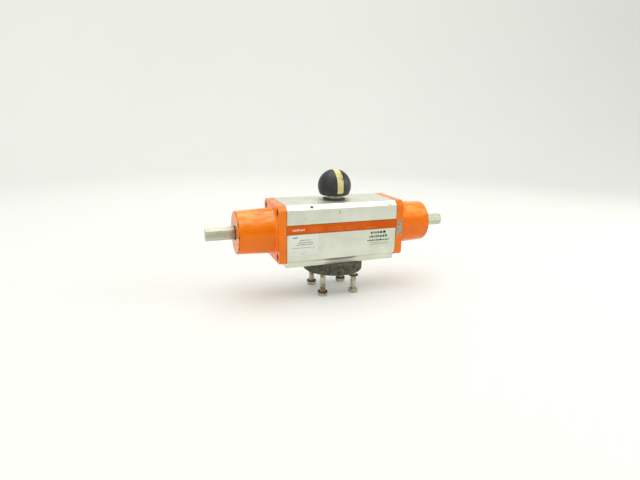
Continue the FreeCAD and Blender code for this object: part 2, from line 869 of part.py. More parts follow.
def shaft_groove(journal, rise, name):
    """The ring of metal that a groove round the shaft takes away, by its name in the sheet."""
    tall, deep = S[f"{name}_height"], S[f"{name}_depth"]
    return cut(rod(journal + 1, tall, z=AXIS + rise), rod(journal - deep, tall, z=AXIS + rise))


def shaft_seal(node, journal, rise, wire):
    """O-ring flush with a journal, in the middle of its groove."""
    return finish(ring_seal(journal - wire, wire, z=AXIS + rise), node)


def circlip():
    """External retaining ring with two drilled ears, in the shaft's top groove."""
    body = new_body("shaft_circlip")
    thick = S["circlip_thickness"]
    ear_radius, ear_hole = 2.2, 0.9
    plan = new_sketch(body, "XY_Plane")
    circle(plan, S["upper_journal"] + 2.2, 0.6, 0)
    circle(plan, S["upper_journal"] - S["circlip_groove_depth"] + S["running_fit"])
    pad(body, plan, thick)
    gap = new_sketch(body, "XY_Plane", thick)
    outline(gap, [(-9, -3), (-16, -3), (-16, 3), (-9, 3)])
    pocket(body, gap, thick)
    ears = new_sketch(body, "XY_Plane")
    for way in (1, -1):
        circle(ears, ear_radius, -13.4, 4.6 * way)
    pad(body, ears, thick)
    holes = new_sketch(body, "XY_Plane", thick)
    for way in (1, -1):
        circle(holes, ear_hole, -13.6, 4.7 * way)
    pocket(body, holes, thick)
    return place(body, z=AXIS + S["top_rise"] + S["circlip_groove_rise"] + S["running_fit"])


def thrust_washer():
    """Collar between the body's top and the retaining ring."""
    low, tall = AXIS + S["top_rise"] + S["running_fit"] * 2, S["collar_thickness"]
    inner = S["upper_journal"] + S["running_fit"] * 2
    return finish(cut(rod(S["washer_collar"], tall, z=low), rod(inner, tall, z=low)), "thrust_washer")


def dome_shell():
    """The stripe's share of the dome's skin: a straight band over the top."""
    centre = AXIS + S["dome_rise"]
    skin = doc.addObject("Part::Sphere", "skin")
    bind(skin, Radius=S["dome_radius"])
    place(skin, z=centre)
    inside = doc.addObject("Part::Sphere", "inside")
    bind(inside, Radius=S["dome_radius"] - S["stripe_depth"])
    place(inside, z=centre)
    radius = S["dome_radius"]
    band = box(
        -S["stripe_width"] / 2, -radius - 1, centre - S["stripe_drop"],
        S["stripe_width"], radius * 2 + 2, radius + S["stripe_drop"] + 1,
    )
    return common(cut(skin, inside), band)


def indicator_dome():
    """Ball-shaped position indicator, hollow below, pushed onto the shaft's square stub."""
    centre = AXIS + S["dome_rise"]
    low = AXIS + S["top_rise"] + S["dome_gap"]
    ball = doc.addObject("Part::Sphere", "ball")
    bind(ball, Radius=S["dome_radius"])
    place(ball, z=centre)
    below = box(-30, -30, low - 30, 60, 60, 30)
    hollow = cut(rod(16.5, 10, z=low), rod(11, 10, z=low))
    hole = S["stub_width"] + S["running_fit"] * 2
    stub_hole = box(-hole / 2, -hole / 2, low - 1, hole, hole, S["stub_height"] + 1 + S["running_fit"])
    dome = cut(ball, below, hollow, stub_hole, dome_shell())
    return finish(dome, "indicator_dome")


# ---- pistons, springs and stops ----


def piston(node, turn):
    """Piston with its rack arm; modelled as the +X one, whose arm passes in front of the pinion."""
    body = new_body(node)
    inner, thick = S["piston_inner"], S["piston_thickness"]
    head = new_sketch(body, "YZ_Plane", inner)
    circle(head, S["piston_radius"])
    pad(body, head, thick)
    addendum = S["gear_module"] * 0.85
    dedendum = S["gear_module"] * 1.2
    face = -PITCH_RADIUS + addendum
    arm = new_sketch(body, "XY_Plane")
    tip = inner - S["rack_reach"]
    outline(arm, [(inner + 1, face), (tip, face), (tip, -S["rack_back"]), (inner + 1, -S["rack_back"])])
    pad(body, arm, S["rack_half_height"] * 2, both_ways=True)

    seat = new_sketch(body, "YZ_Plane", inner + thick)
    circle(seat, S["spring_seat_radius"])
    circle(seat, S["spring_pilot_radius"])
    pocket(body, seat, S["spring_seat_depth"])
    for name in ("seal", "guide"):
        groove = new_sketch(body, "YZ_Plane", inner + S[f"{name}_offset"])
        circle(groove, S["piston_radius"] + 1)
        circle(groove, S["piston_radius"] - S[f"{name}_depth"])
        pocket(body, groove, S[f"{name}_width"], reverse=True)

    # tooth spaces are centred on x = 0, because the pinion has a tooth there
    tooth_pitch = S["gear_module"] * math.pi
    slope = math.tan(PRESSURE_ANGLE)
    half_space = tooth_pitch / 4 + S["tooth_clearance"]
    wide = half_space + (addendum + 0.5) * slope
    narrow = half_space - dedendum * slope
    teeth_before = 6
    space = new_sketch(body, "XY_Plane")
    start = -tooth_pitch * teeth_before
    root = -PITCH_RADIUS - dedendum
    mouth = face + 0.5
    corners = [(start - wide, mouth), (start + wide, mouth), (start + narrow, root), (start - narrow, root)]
    outline(space, corners)
    cutter = pocket(body, space, S["rack_half_height"] * 2 + 2, both_ways=True)
    spaces = body.newObject("PartDesign::LinearPattern", "Spaces")
    spaces.Originals = [cutter]
    spaces.Direction = (space, ["H_Axis"])
    count = teeth_before + 4
    spaces.Occurrences = count
    bind(spaces, Length=tooth_pitch * (count - 1))
    body.Tip = spaces
    doc.recompute()

    pad_groove = new_sketch(body, "XZ_Plane", S["rack_back"])
    left, half_pad = S["pad_start"], S["pad_width"] / 2
    right = left + S["pad_length"]
    outline(pad_groove, [(left, -half_pad), (right, -half_pad), (right, half_pad), (left, half_pad)])
    pocket(body, pad_groove, S["pad_depth"])
    return place(body, z=AXIS, turn=turn)


def rack_pad(node, turn):
    """Sliding pad between the rack's back and the bore."""
    reach, gap = S["bore_radius"] - S["running_fit"], S["running_fit"] * 2
    inner_face = -S["rack_back"] + S["pad_depth"] - S["running_fit"]
    start, length = S["pad_start"] + gap, S["pad_length"] - gap * 2
    width = S["pad_width"] - gap * 2
    outer = rod(reach, length, start, 0, AXIS, LIE_ALONG_X)
    block = box(start, -reach - 1, AXIS - width / 2, length, inner_face + reach + 1, width)
    pad_piece = common(outer, block)
    holder = together([pad_piece])
    holder.Placement = Placement(Vector(0, 0, 0), turn)
    return finish(holder, node)


def piston_seal(node, way):
    """O-ring in the middle of the piston's groove."""
    wire = 1.45
    x = (S["piston_inner"] + S["seal_offset"] + S["seal_width"] / 2) * way
    return finish(ring_seal(S["bore_radius"] - S["running_fit"] - wire, wire, x, 0, AXIS, LIE_ALONG_X), node)


def guide_ring(node, way):
    """Plain ring that carries the piston in the bore."""
    fit = S["running_fit"]
    start, wide = S["piston_inner"] + S["guide_offset"] + fit, S["guide_width"] - fit * 2
    x = start if way > 0 else -start - wide
    outer = rod(S["bore_radius"] - fit, wide, x, 0, AXIS, LIE_ALONG_X)
    inner = rod(S["piston_radius"] - S["guide_depth"] + fit, wide, x, 0, AXIS, LIE_ALONG_X)
    return finish(cut(outer, inner), node)


def coil_spring(node, radius, wire, pitch, way):
    """Compression spring from the piston's seat to the cap's end wall."""
    start = S["piston_inner"] + S["piston_thickness"] - S["spring_seat_depth"] + wire + S["running_fit"]
    end = BARREL_FACE - S["cap_end_wall"] - wire - S["running_fit"]
    helix = doc.addObject("Part::Helix", "coil_line")
    bind(helix, Radius=radius, Pitch=pitch, Height=end - start)
    section = doc.addObject("Part::Circle", "wire_section")
    bind(section, Radius=wire)
    place(section, x=radius, turn=Rotation(X_AXIS, 90))
    coil = doc.addObject("Part::Sweep", "coil")
    coil.Sections = [section]
    coil.Spine = (helix, ["Edge1"])
    coil.Solid = True
    coil.Frenet = True
    half_turn = Rotation(Z_AXIS, 180 if way > 0 else 0)
    place(coil, x=start * way, z=AXIS, turn=half_turn * outwards(-1))
    return finish(coil, node)


def stop_screw(node, way):
    """Travel stop: a long hexagon outside the cap on a threaded shank that ends by the piston."""
    turn = outwards(way)
    lean, length = (S[f"hex_{name}_{'right' if way > 0 else 'left'}"] for name in ("lean", "length"))
    leaning = turn.multiply(Rotation(Z_AXIS, -lean.value * way))
    start = BARREL_FACE + S["washer_thickness"]
    bar = common(
        hex_bar(S["hex_flats"], length, start * way, 0, AXIS, leaning),
        hex_end_cones(start, length, way, turn),
    )
    travel = PITCH_RADIUS * (math.pi / 2)
    tip = S["piston_inner"] + S["piston_thickness"] + travel + S["stop_clearance"]
    shank = rod(S["stop_thread"], start - tip + 1, tip * way, 0, AXIS, turn)
    return finish(fuse(bar, shank), node)


def hex_end_cones(start, length, way, turn):
    """The turned envelope that bevels the hexagon's corners at its outer end."""
    corner = S["hex_flats"] / math.sqrt(3)
    bevel = S["hex_bevel"]
    straight = rod(corner + 0.1, length - bevel, start * way, 0, AXIS, turn)
    end = cone(corner + 0.1, corner - S["hex_bevel_depth"], bevel, (start + length - bevel) * way, 0, AXIS, turn)
    return fuse(straight, end)


def stop_washer(node, way):
    """Sealing washer between the cap and the travel stop's hexagon."""
    turn, gap = outwards(way), 0.02
    x, thick = (BARREL_FACE + gap) * way, S["washer_thickness"] - gap * 2
    outer = rod(S["washer_radius"], thick, x, 0, AXIS, turn)
    inner = rod(S["stop_thread"] + S["running_fit"], thick, x, 0, AXIS, turn)
    return finish(cut(outer, inner), node)


def check_all():
    """Stops if any object failed, or any sub-part is empty or invalid."""
    doc.recompute()
    for thing in doc.Objects:
        if {"Invalid", "Error"} & set(thing.State):
            raise RuntimeError(f"{thing.Name} ({thing.Label}) failed: {thing.State}")
    for thing in finished:
        shape = thing.Shape
        if shape.isNull() or not shape.isValid() or not shape.Solids:
            raise RuntimeError(f"{thing.Label} is empty or invalid")


def build():
    extruded_body()
    side_band("band_front", -1)
    side_band("band_back", 1)
    passage_plug()
    label_plate("label_left", -81.0, -28.6, 42.0, 29.0)
    label_plate("label_right", 38.0, -26.5, 41.0, 26.5)
    flange_ring()
    ring_screws()
    flange_bolts()
    split_washers()
    tall = S["lower_bush_height"] - 0.2
    bush("lower_bush", S["lower_journal"], AXIS - S["base_drop"] + 0.1, tall)
    tall = S["upper_bush_height"] - 0.1
    bush("upper_bush", S["upper_journal"], AXIS + S["top_rise"] - tall, tall)

    pinion_shaft()
    rise = S["lower_groove_height"] / 2 - S["lower_groove_drop"]
    shaft_seal("lower_shaft_seal", S["lower_journal"], rise, 0.95)
    rise = S["upper_groove_height"] / 2 + S["upper_groove_rise"]
    shaft_seal("upper_shaft_seal", S["upper_journal"], rise, 0.75)
    thrust_washer()
    circlip()
    indicator_dome()
    finish(dome_shell(), "indicator_stripe")

    for side, way in (("right", 1), ("left", -1)):
        turn = Rotation(Z_AXIS, 0 if way > 0 else 180)
        end_cap(f"end_cap_{side}", turn)
        cap_seal(f"cap_seal_{side}", way)
        cap_screws(f"cap_screws_{side}", way)
        piston(f"piston_{side}", turn)
        piston_seal(f"piston_seal_{side}", way)
        guide_ring(f"piston_guide_{side}", way)
        rack_pad(f"rack_pad_{side}", turn)
        coil_spring(f"outer_spring_{side}", S["outer_spring_radius"], S["outer_spring_wire"],
                    S["outer_spring_pitch"], way)
        coil_spring(f"inner_spring_{side}", S["inner_spring_radius"], S["inner_spring_wire"],
                    S["inner_spring_pitch"], way)
        stop_screw(f"stop_screw_{side}", way)
        stop_washer(f"stop_washer_{side}", way)

    check_all()
    os.makedirs("parts", exist_ok=True)
    for thing in finished:
        thing.Shape.exportStep(f"parts/{thing.Label}.step")
        print(f"{thing.Label}: {len(thing.Shape.Solids)} solid(s), {thing.Shape.Volume / 1000:.2f} cm3")


build()
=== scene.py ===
import math
import random

import bmesh
import bpy
from mathutils import Matrix, Vector, noise


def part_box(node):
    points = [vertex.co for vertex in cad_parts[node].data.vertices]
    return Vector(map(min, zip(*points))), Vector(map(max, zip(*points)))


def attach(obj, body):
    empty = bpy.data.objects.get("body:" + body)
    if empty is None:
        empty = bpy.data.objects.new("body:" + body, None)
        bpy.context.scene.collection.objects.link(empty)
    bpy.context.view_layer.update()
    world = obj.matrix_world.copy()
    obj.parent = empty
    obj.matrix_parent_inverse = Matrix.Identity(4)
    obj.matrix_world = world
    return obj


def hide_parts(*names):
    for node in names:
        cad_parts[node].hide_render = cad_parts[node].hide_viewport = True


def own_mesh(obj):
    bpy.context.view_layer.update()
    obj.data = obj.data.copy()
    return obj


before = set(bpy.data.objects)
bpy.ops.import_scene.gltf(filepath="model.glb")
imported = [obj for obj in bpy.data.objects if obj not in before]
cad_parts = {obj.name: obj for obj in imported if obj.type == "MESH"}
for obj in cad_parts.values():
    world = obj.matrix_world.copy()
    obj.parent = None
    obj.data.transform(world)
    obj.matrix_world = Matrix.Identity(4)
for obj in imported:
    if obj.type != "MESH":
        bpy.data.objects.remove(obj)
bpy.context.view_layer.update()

MM = 0.001

# ---- places, read from the frame ----

BODY_LOW, BODY_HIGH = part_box("body")
CAP_LOW, CAP_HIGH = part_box("end_cap_right")
RING_LOW, RING_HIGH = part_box("flange_ring")
DOME_LOW, DOME_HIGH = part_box("indicator_dome")
AXIS_Z = sum(corner.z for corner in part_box("stop_screw_right")) / 2
FRONT_Y = BODY_LOW.y
END_X = BODY_HIGH.x
RIM_X = CAP_HIGH.x
SCREWS_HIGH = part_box("cap_screws_right")[1]
SCREW_SUNK = 0.3 * MM
FLANGE_X = SCREWS_HIGH.x + SCREW_SUNK
CAP_SCREW_OFFSET = SCREWS_HIGH.y - 5 * MM
BOLT_CIRCLE = 35 * MM
BOLT_AT = BOLT_CIRCLE * math.sqrt(0.5)
BEVEL_WIDE, BEVEL_TALL = 7 * MM, 6 * MM
PORT_Z = AXIS_Z - 14 * MM
DOME_RADIUS = (DOME_HIGH.x - DOME_LOW.x) / 2
STRIPE_LOW, STRIPE_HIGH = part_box("indicator_stripe")
STRIPE_HALF = (STRIPE_HIGH.x - STRIPE_LOW.x) / 2
DOME_CENTRE = STRIPE_HIGH.z - DOME_RADIUS
RING_SCREWS = (36 * MM, 12 * MM)
ACCESSORY_HOLES = (40 * MM, 15 * MM)
VALVE_HOLES = (16 * MM, 12 * MM)
PORT_X = 12 * MM
HEX_FLATS = 16 * MM
HEX_LEAN = {"left": math.radians(8), "right": math.radians(30)}
BOLT_FLATS, BOLT_HEAD = 13 * MM, 5.3 * MM
INK_THICK = 0.03 * MM
SAME_POINT = 1e-7
ON_PLANE = 1e-6
SHARP_EDGE = math.radians(32)
ON_AXIS = (0, 0, AXIS_Z)
SIDES = (("right", 1), ("left", -1))


def four_corners(u, v):
    return [(a * u, b * v) for a in (1, -1) for b in (1, -1)]


def level_corners(x, y):
    """The four corners as places on the floor plane."""
    return [(*corner, 0) for corner in four_corners(x, y)]


CAP_SCREWS = [(0, y, AXIS_Z + z) for y, z in four_corners(CAP_SCREW_OFFSET, CAP_SCREW_OFFSET)]


# ---- node graphs ----


def opaque(color):
    """A socket as it is, or a triple with its alpha."""
    return color if isinstance(color, bpy.types.NodeSocket) else (*color, 1.0)


class Graph:
    """A material whose nodes are added by short calls."""

    def __init__(self, name, roughness=0.5, metallic=0.0, coat=0.0, coat_roughness=0.1):
        self.material = bpy.data.materials.new(name)
        self.material.use_nodes = True
        self.tree = self.material.node_tree
        self.surface = self.tree.nodes["Principled BSDF"]
        self.surface.inputs["Roughness"].default_value = roughness
        self.surface.inputs["Metallic"].default_value = metallic
        self.surface.inputs["Coat Weight"].default_value = coat
        self.surface.inputs["Coat Roughness"].default_value = coat_roughness
        self.place = self.add("ShaderNodeTexCoord").outputs["Object"]

    def add(self, kind, inputs=None, **settings):
        node = self.tree.nodes.new(kind)
        for name, value in settings.items():
            setattr(node, name, value)
        for socket, value in (inputs or {}).items():
            self.join(value, node.inputs[socket])
        return node

    def join(self, value, socket):
        if isinstance(value, bpy.types.NodeSocket):
            self.tree.links.new(value, socket)
        else:
            socket.default_value = value

    def stretched(self, x=1.0, y=1.0, z=1.0, shift=(0.0, 0.0, 0.0)):
        """The object's own coordinates, scaled along each axis."""
        mapping = self.add("ShaderNodeMapping", {"Vector": self.place, "Scale": (x, y, z), "Location": shift})
        return mapping.outputs["Vector"]

    def noise(self, scale, detail=3.0, place=None, rough=0.5):
        node = self.add("ShaderNodeTexNoise", {"Vector": place or self.place, "Scale": scale,
                                               "Detail": detail, "Roughness": rough})
        return node.outputs["Fac"]

    def cells(self, scale, place=None):
        node = self.add("ShaderNodeTexVoronoi", {"Vector": place or self.place, "Scale": scale})
        return node.outputs["Distance"]

    def ramp(self, value, low, high, to_low=0.0, to_high=1.0):
        """Smoothly from to_low, where the value is low, to to_high, where it is high."""
        node = self.add("ShaderNodeMapRange", interpolation_type="SMOOTHSTEP")
        for socket, number in zip(node.inputs, (value, low, high, to_low, to_high)):
            self.join(number, socket)
        return node.outputs["Result"]

    def math(self, operation, first, second=0.0, third=0.0):
        node = self.add("ShaderNodeMath", operation=operation)
        for socket, value in zip(node.inputs, (first, second, third)):
            self.join(value, socket)
        return node.outputs["Value"]

    def times(self, *values):
        result = values[0]
        for value in values[1:]:
            result = self.math("MULTIPLY", result, value)
        return result

    def most(self, *values):
        result = values[0]
        for value in values[1:]:
            result = self.math("MAXIMUM", result, value)
        return result

    def axes(self):
        node = self.add("ShaderNodeSeparateXYZ", {"Vector": self.place})
        return node.outputs["X"], node.outputs["Y"], node.outputs["Z"]

    def between(self, value, low, high, soft):
        """1 where the value lies between low and high, with soft edges."""
        rise = self.ramp(value, low - soft, low + soft)
        fall = self.ramp(value, high - soft, high + soft, 1.0, 0.0)
        return self.times(rise, fall)

    def mix(self, amount, first, second):
        node = self.add("ShaderNodeMix", data_type="RGBA", clamp_factor=True)
        for socket, value in (("Factor", amount), ("A", opaque(first)), ("B", opaque(second))):
            self.join(value, node.inputs[socket])
        return node.outputs["Result"]

    def blend(self, amount, first, second):
        """A number that goes from first to second as the amount goes from 0 to 1."""
        node = self.add("ShaderNodeMix", data_type="FLOAT", clamp_factor=True)
        for socket, value in (("Factor", amount), ("A", first), ("B", second)):
            self.join(value, node.inputs[socket])
        return node.outputs["Result"]

    def bump(self, height, distance, strength=1.0):
        node = self.add("ShaderNodeBump", {"Height": height, "Strength": strength, "Distance": distance})
        return node.outputs["Normal"]

    def finish(self, color, roughness=None, normal=None, metallic=None):
        self.join(opaque(color), self.surface.inputs["Base Color"])
        for value, socket in ((roughness, "Roughness"), (normal, "Normal"), (metallic, "Metallic")):
            if value is not None:
                self.join(value, self.surface.inputs[socket])
        return self.material


# ---- materials ----


def extrusion_material():
    """Satin anodised aluminium: drawing lines along X, faint blotches, and a dark ring under the indicator
    that is dirt plus painted shadow and painted reflection of the dome.
    """
    g = Graph("anodised_aluminium", metallic=0.72)
    x, y, z = g.axes()
    lines = g.noise(900.0, 3.0, g.stretched(0.012, 1.0, 1.0))
    broad = g.noise(90.0, 2.0, g.stretched(0.03, 1.0, 1.0))
    blotch = g.noise(28.0, 5.0, rough=0.6)
    pits = g.ramp(g.cells(420.0), 0.05, 0.12, 1.0, 0.0)
    rare = g.ramp(g.noise(60.0, 1.0, g.stretched(shift=(0.3, 0.1, 0.7))), 0.58, 0.66)
    color = g.mix(g.ramp(blotch, 0.35, 0.7), (0.70, 0.73, 0.61), (0.80, 0.82, 0.72))
    color = g.mix(g.times(g.ramp(lines, 0.45, 0.75), 0.25), color, (0.52, 0.55, 0.45))
    radius = g.math("SQRT", g.math("ADD", g.times(x, x), g.times(y, y)))
    on_top = g.ramp(z, BODY_HIGH.z - 0.5 * MM, BODY_HIGH.z - 0.1 * MM)
    # dirt plus painted shadow and painted reflection of the dome: a dark ring on the top round the
    # indicator's foot
    ring = g.times(on_top, g.ramp(radius, 19 * MM, 27 * MM, 1.0, 0.0), g.ramp(blotch, 0.3, 0.6, 0.5, 1.0))
    smear = g.times(on_top, g.ramp(g.noise(45.0, 5.0, g.stretched(0.5, 1.0, 1.0)), 0.56, 0.68), 0.35)
    color = g.mix(g.times(smear, 0.55), color, (0.30, 0.31, 0.24))
    # the ring's dark colour holds dirt, painted shadow and painted reflection of the dome
    color = g.mix(g.times(ring, 0.75), color, (0.21, 0.18, 0.10))
    front = g.ramp(y, FRONT_Y + 7.5 * MM, FRONT_Y + 8.5 * MM, 1.0, 0.0)
    ragged = g.ramp(g.noise(700.0, 4.0, rough=0.7), 0.36, 0.46)
    for mark_x, mark_z, wide, tall in ((-7, 30, 0.35, 3.4), (-5.6, 28.5, 0.9, 0.35), (72, 36.5, 1.4, 0.7),
                                       (74, 34.6, 0.8, 0.5), (-58, 22.6, 1.6, 0.3)):
        across = g.between(x, (mark_x - wide) * MM, (mark_x + wide) * MM, 0.25 * MM)
        up = g.between(z, AXIS_Z + (mark_z - tall) * MM, AXIS_Z + (mark_z + tall) * MM, 0.25 * MM)
        color = g.mix(g.times(across, up, front, ragged, 0.92), color, (0.10, 0.11, 0.075))
    color = g.mix(g.times(pits, rare, 0.8), color, (0.10, 0.10, 0.08))
    rough = g.blend(g.ramp(broad, 0.3, 0.7), 0.34, 0.46)
    height = g.math("ADD", g.times(lines, 0.6), g.times(broad, 0.4))
    return g.finish(color, rough, g.bump(height, 0.02 * MM, 0.8))


def paint_material(name, patch=False):
    """Glossy orange enamel over a casting: orange peel, runs, chips at the rim and along the seam."""
    g = Graph(name, coat=0.55, coat_roughness=0.03)
    g.surface.inputs["Specular IOR Level"].default_value = 0.05
    x, y, z = g.axes()
    along = g.math("ABSOLUTE", x)
    tone = g.noise(22.0, 4.0, rough=0.6)
    fine = g.noise(420.0, 3.0)
    color = g.mix(g.ramp(tone, 0.3, 0.7), (0.86, 0.168, 0.0), (0.92, 0.205, 0.001))
    chips = g.noise(330.0, 4.0, rough=0.65)
    at_rim = g.between(along, RIM_X - 1.9 * MM, RIM_X - 0.2 * MM, 0.5 * MM)
    at_seam = g.ramp(along, END_X + 0.5 * MM, END_X + 1.5 * MM, 1.0, 0.0)
    at_edge = g.between(along, CAP_LOW.x + 13.6 * MM, CAP_LOW.x + 14.8 * MM, 0.3 * MM)
    chipped = g.most(
        g.times(at_rim, g.ramp(chips, 0.49, 0.55)),
        g.times(at_seam, g.ramp(chips, 0.42, 0.50)),
        g.times(at_edge, g.ramp(chips, 0.63, 0.67)),
        g.ramp(g.noise(150.0, 5.0, rough=0.7), 0.745, 0.765),
    )
    if patch:
        worn_x = g.between(x, END_X + 2.8 * MM, END_X + 10.8 * MM, 0.5 * MM)
        worn_z = g.between(z, AXIS_Z - 11.5 * MM, AXIS_Z + 11.5 * MM, 0.8 * MM)
        front = g.ramp(y, FRONT_Y + 0.3 * MM, FRONT_Y + 0.8 * MM, 1.0, 0.0)
        ragged = g.ramp(g.noise(260.0, 5.0, g.stretched(1.0, 1.0, 0.45), rough=0.7), 0.36, 0.44)
        worn = g.times(worn_x, worn_z, front, ragged)
    else:
        worn = 0.0
    metal = g.mix(g.ramp(fine, 0.4, 0.6), (0.075, 0.040, 0.020), (0.19, 0.12, 0.07))
    bare = g.mix(g.ramp(g.noise(300.0, 4.0), 0.35, 0.65), (0.20, 0.20, 0.17), (0.48, 0.49, 0.42))
    color = g.mix(chipped, color, metal)
    color = g.mix(worn, color, bare)
    grime = g.times(g.ramp(g.noise(60.0, 5.0, rough=0.65), 0.55, 0.75), 0.22)
    color = g.mix(grime, color, (0.42, 0.075, 0.004))
    streaks = g.noise(170.0, 5.0, g.stretched(0.35, 1.0, 1.0), rough=0.65)
    on_barrel = g.between(along, FLANGE_X + 0.5 * MM, RIM_X - 1.5 * MM, MM)
    # dust streaks on the barrel's top, lightened further as a painted highlight of the overhead light
    dust_and_highlight = g.times(on_barrel, g.ramp(z, AXIS_Z + 8 * MM, AXIS_Z + 22 * MM), g.ramp(streaks, 0.36, 0.60), 0.58)
    color = g.mix(dust_and_highlight, color, (0.92, 0.46, 0.13))
    rough = g.blend(g.most(chipped, worn), g.ramp(tone, 0.3, 0.7, 0.26, 0.36), 0.7)
    peel = g.math("ADD", g.times(g.noise(120.0, 2.0), 0.35), g.times(fine, 0.25))
    height = g.math("SUBTRACT", g.times(peel, 0.35), g.times(g.most(chipped, worn), 0.9))
    return g.finish(color, rough, g.bump(height, 0.12 * MM, 0.8))


def band_material():
    """Deep red-orange film with painted shade along its top and bottom edges, where it lies inset in its
    groove, and a little wear.
    """
    g = Graph("side_band", coat=0.05, coat_roughness=0.2)
    g.surface.inputs["Specular IOR Level"].default_value = 0.12
    z = g.axes()[2]
    low, high = (corner.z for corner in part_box("band_front"))
    # painted shade: the film's top and bottom edges are darkened where the groove's lips shade it
    edge = g.most(g.ramp(z, low + 0.3 * MM, low + 1.0 * MM, 1.0, 0.0),
                  g.ramp(z, high - 1.2 * MM, high - 0.4 * MM))
    tone = g.noise(35.0, 4.0)
    color = g.mix(g.ramp(tone, 0.3, 0.7), (0.62, 0.094, 0.0), (0.70, 0.118, 0.001))
    # painted shade along the groove's edges
    color = g.mix(g.times(edge, 0.8), color, (0.13, 0.030, 0.010))
    scratch = g.ramp(g.noise(240.0, 4.0, g.stretched(0.12, 1.0, 1.0)), 0.66, 0.70)
    color = g.mix(g.times(scratch, 0.35), color, (0.80, 0.35, 0.16))
    return g.finish(color, g.ramp(tone, 0.3, 0.7, 0.3, 0.42), g.bump(g.noise(500.0), 0.02 * MM, 0.5))


def label_material(name, base, edge_color):
    """Thin printed film, slightly yellowed and scuffed."""
    g = Graph(name, coat=0.15, coat_roughness=0.3)
    tone = g.noise(55.0, 5.0, rough=0.6)
    color = g.mix(g.ramp(tone, 0.35, 0.7), base, edge_color)
    rub = g.ramp(g.noise(190.0, 4.0, g.stretched(0.3, 1.0, 1.0)), 0.62, 0.72)
    color = g.mix(g.times(rub, 0.25), color, (0.45, 0.46, 0.40))
    return g.finish(color, g.ramp(tone, 0.3, 0.7, 0.42, 0.58), g.bump(g.noise(700.0), 0.01 * MM, 0.6))


def ink_material(name, base, faded, amount):
    """Printing ink with worn spots."""
    g = Graph(name, roughness=0.55)
    wear = g.ramp(g.noise(900.0, 3.0, rough=0.7), 0.5, 0.62)
    return g.finish(g.mix(g.times(wear, amount), base, faded), normal=g.bump(g.noise(900.0), 0.005 * MM))


def drawn_bar_material():
    """Bright drawn hexagon bar: lines along X, dull spots, greenish-grey tone."""
    g = Graph("hex_bar_metal", metallic=0.6)
    lines = g.noise(700.0, 4.0, g.stretched(0.02, 1.0, 1.0))
    spots = g.noise(160.0, 4.0, rough=0.65)
    color = g.mix(g.ramp(lines, 0.3, 0.7), (0.52, 0.54, 0.42), (0.66, 0.68, 0.56))
    color = g.mix(g.times(g.ramp(spots, 0.55, 0.7), 0.5), color, (0.34, 0.35, 0.26))
    along = g.math("ABSOLUTE", g.axes()[0])
    # browner and darker towards the cap, fading out 11 mm past its rim
    browner_near_cap = g.times(g.ramp(along, RIM_X + 2 * MM, RIM_X + 11 * MM, 1.0, 0.0), g.ramp(spots, 0.3, 0.6))
    color = g.mix(g.times(browner_near_cap, 0.75), color, (0.24, 0.19, 0.10))
    rough = g.ramp(spots, 0.3, 0.7, 0.44, 0.6)
    return g.finish(color, rough, g.bump(lines, 0.03 * MM, 0.8))


def casting_material():
    """Dark, rough iron with light flecks and a browned patch."""
    g = Graph("cast_ring")
    coarse = g.noise(210.0, 6.0, rough=0.68)
    grain = g.noise(620.0, 4.0, rough=0.6)
    rust = g.ramp(g.noise(48.0, 5.0, rough=0.6), 0.50, 0.64)
    flecks = g.ramp(g.cells(520.0), 0.10, 0.18, 1.0, 0.0)
    some = g.ramp(g.noise(130.0, 2.0), 0.50, 0.60)
    color = g.mix(g.ramp(coarse, 0.35, 0.68), (0.019, 0.018, 0.010), (0.112, 0.110, 0.068))
    color = g.mix(g.times(rust, 0.5), color, (0.075, 0.055, 0.028))
    color = g.mix(g.times(flecks, some, 0.8), color, (0.36, 0.37, 0.28))
    height = g.math("ADD", g.times(coarse, 0.8), g.times(grain, 0.3))
    return g.finish(color, g.ramp(grain, 0.3, 0.7, 0.62, 0.85), g.bump(height, 0.5 * MM, 0.9))


def stained_steel_material(name, bright, dull, stain, amount, roughness=(0.32, 0.55)):
    """Steel with a stain whose share of the surface is the amount."""
    g = Graph(name, metallic=0.85)
    wear = g.noise(300.0, 5.0, rough=0.65)
    blot = g.noise(120.0, 4.0, rough=0.6)
    color = g.mix(g.ramp(wear, 0.3, 0.7), bright, dull)
    stained = g.ramp(blot, 0.78 - amount * 0.5, 0.90 - amount * 0.5)
    color = g.mix(stained, color, stain)
    rough = g.blend(stained, g.ramp(wear, 0.3, 0.7, *roughness), 0.75)
    return g.finish(color, rough, g.bump(wear, 0.05 * MM, 0.7), g.blend(stained, 0.85, 0.2))


def dome_material():
    """Satin black plastic with dust specks and rubbed areas."""
    g = Graph("dome_plastic")
    rub = g.noise(55.0, 5.0, rough=0.65)
    specks = g.ramp(g.cells(330.0), 0.06, 0.13, 1.0, 0.0)
    some = g.ramp(g.noise(90.0, 3.0), 0.5, 0.62)
    color = g.mix(g.ramp(rub, 0.4, 0.72), (0.010, 0.010, 0.009), (0.038, 0.038, 0.033))
    color = g.mix(g.times(specks, some, 0.8), color, (0.34, 0.34, 0.28))
    return g.finish(color, g.ramp(rub, 0.3, 0.7, 0.36, 0.54), g.bump(g.noise(380.0, 4.0), 0.08 * MM, 0.6))


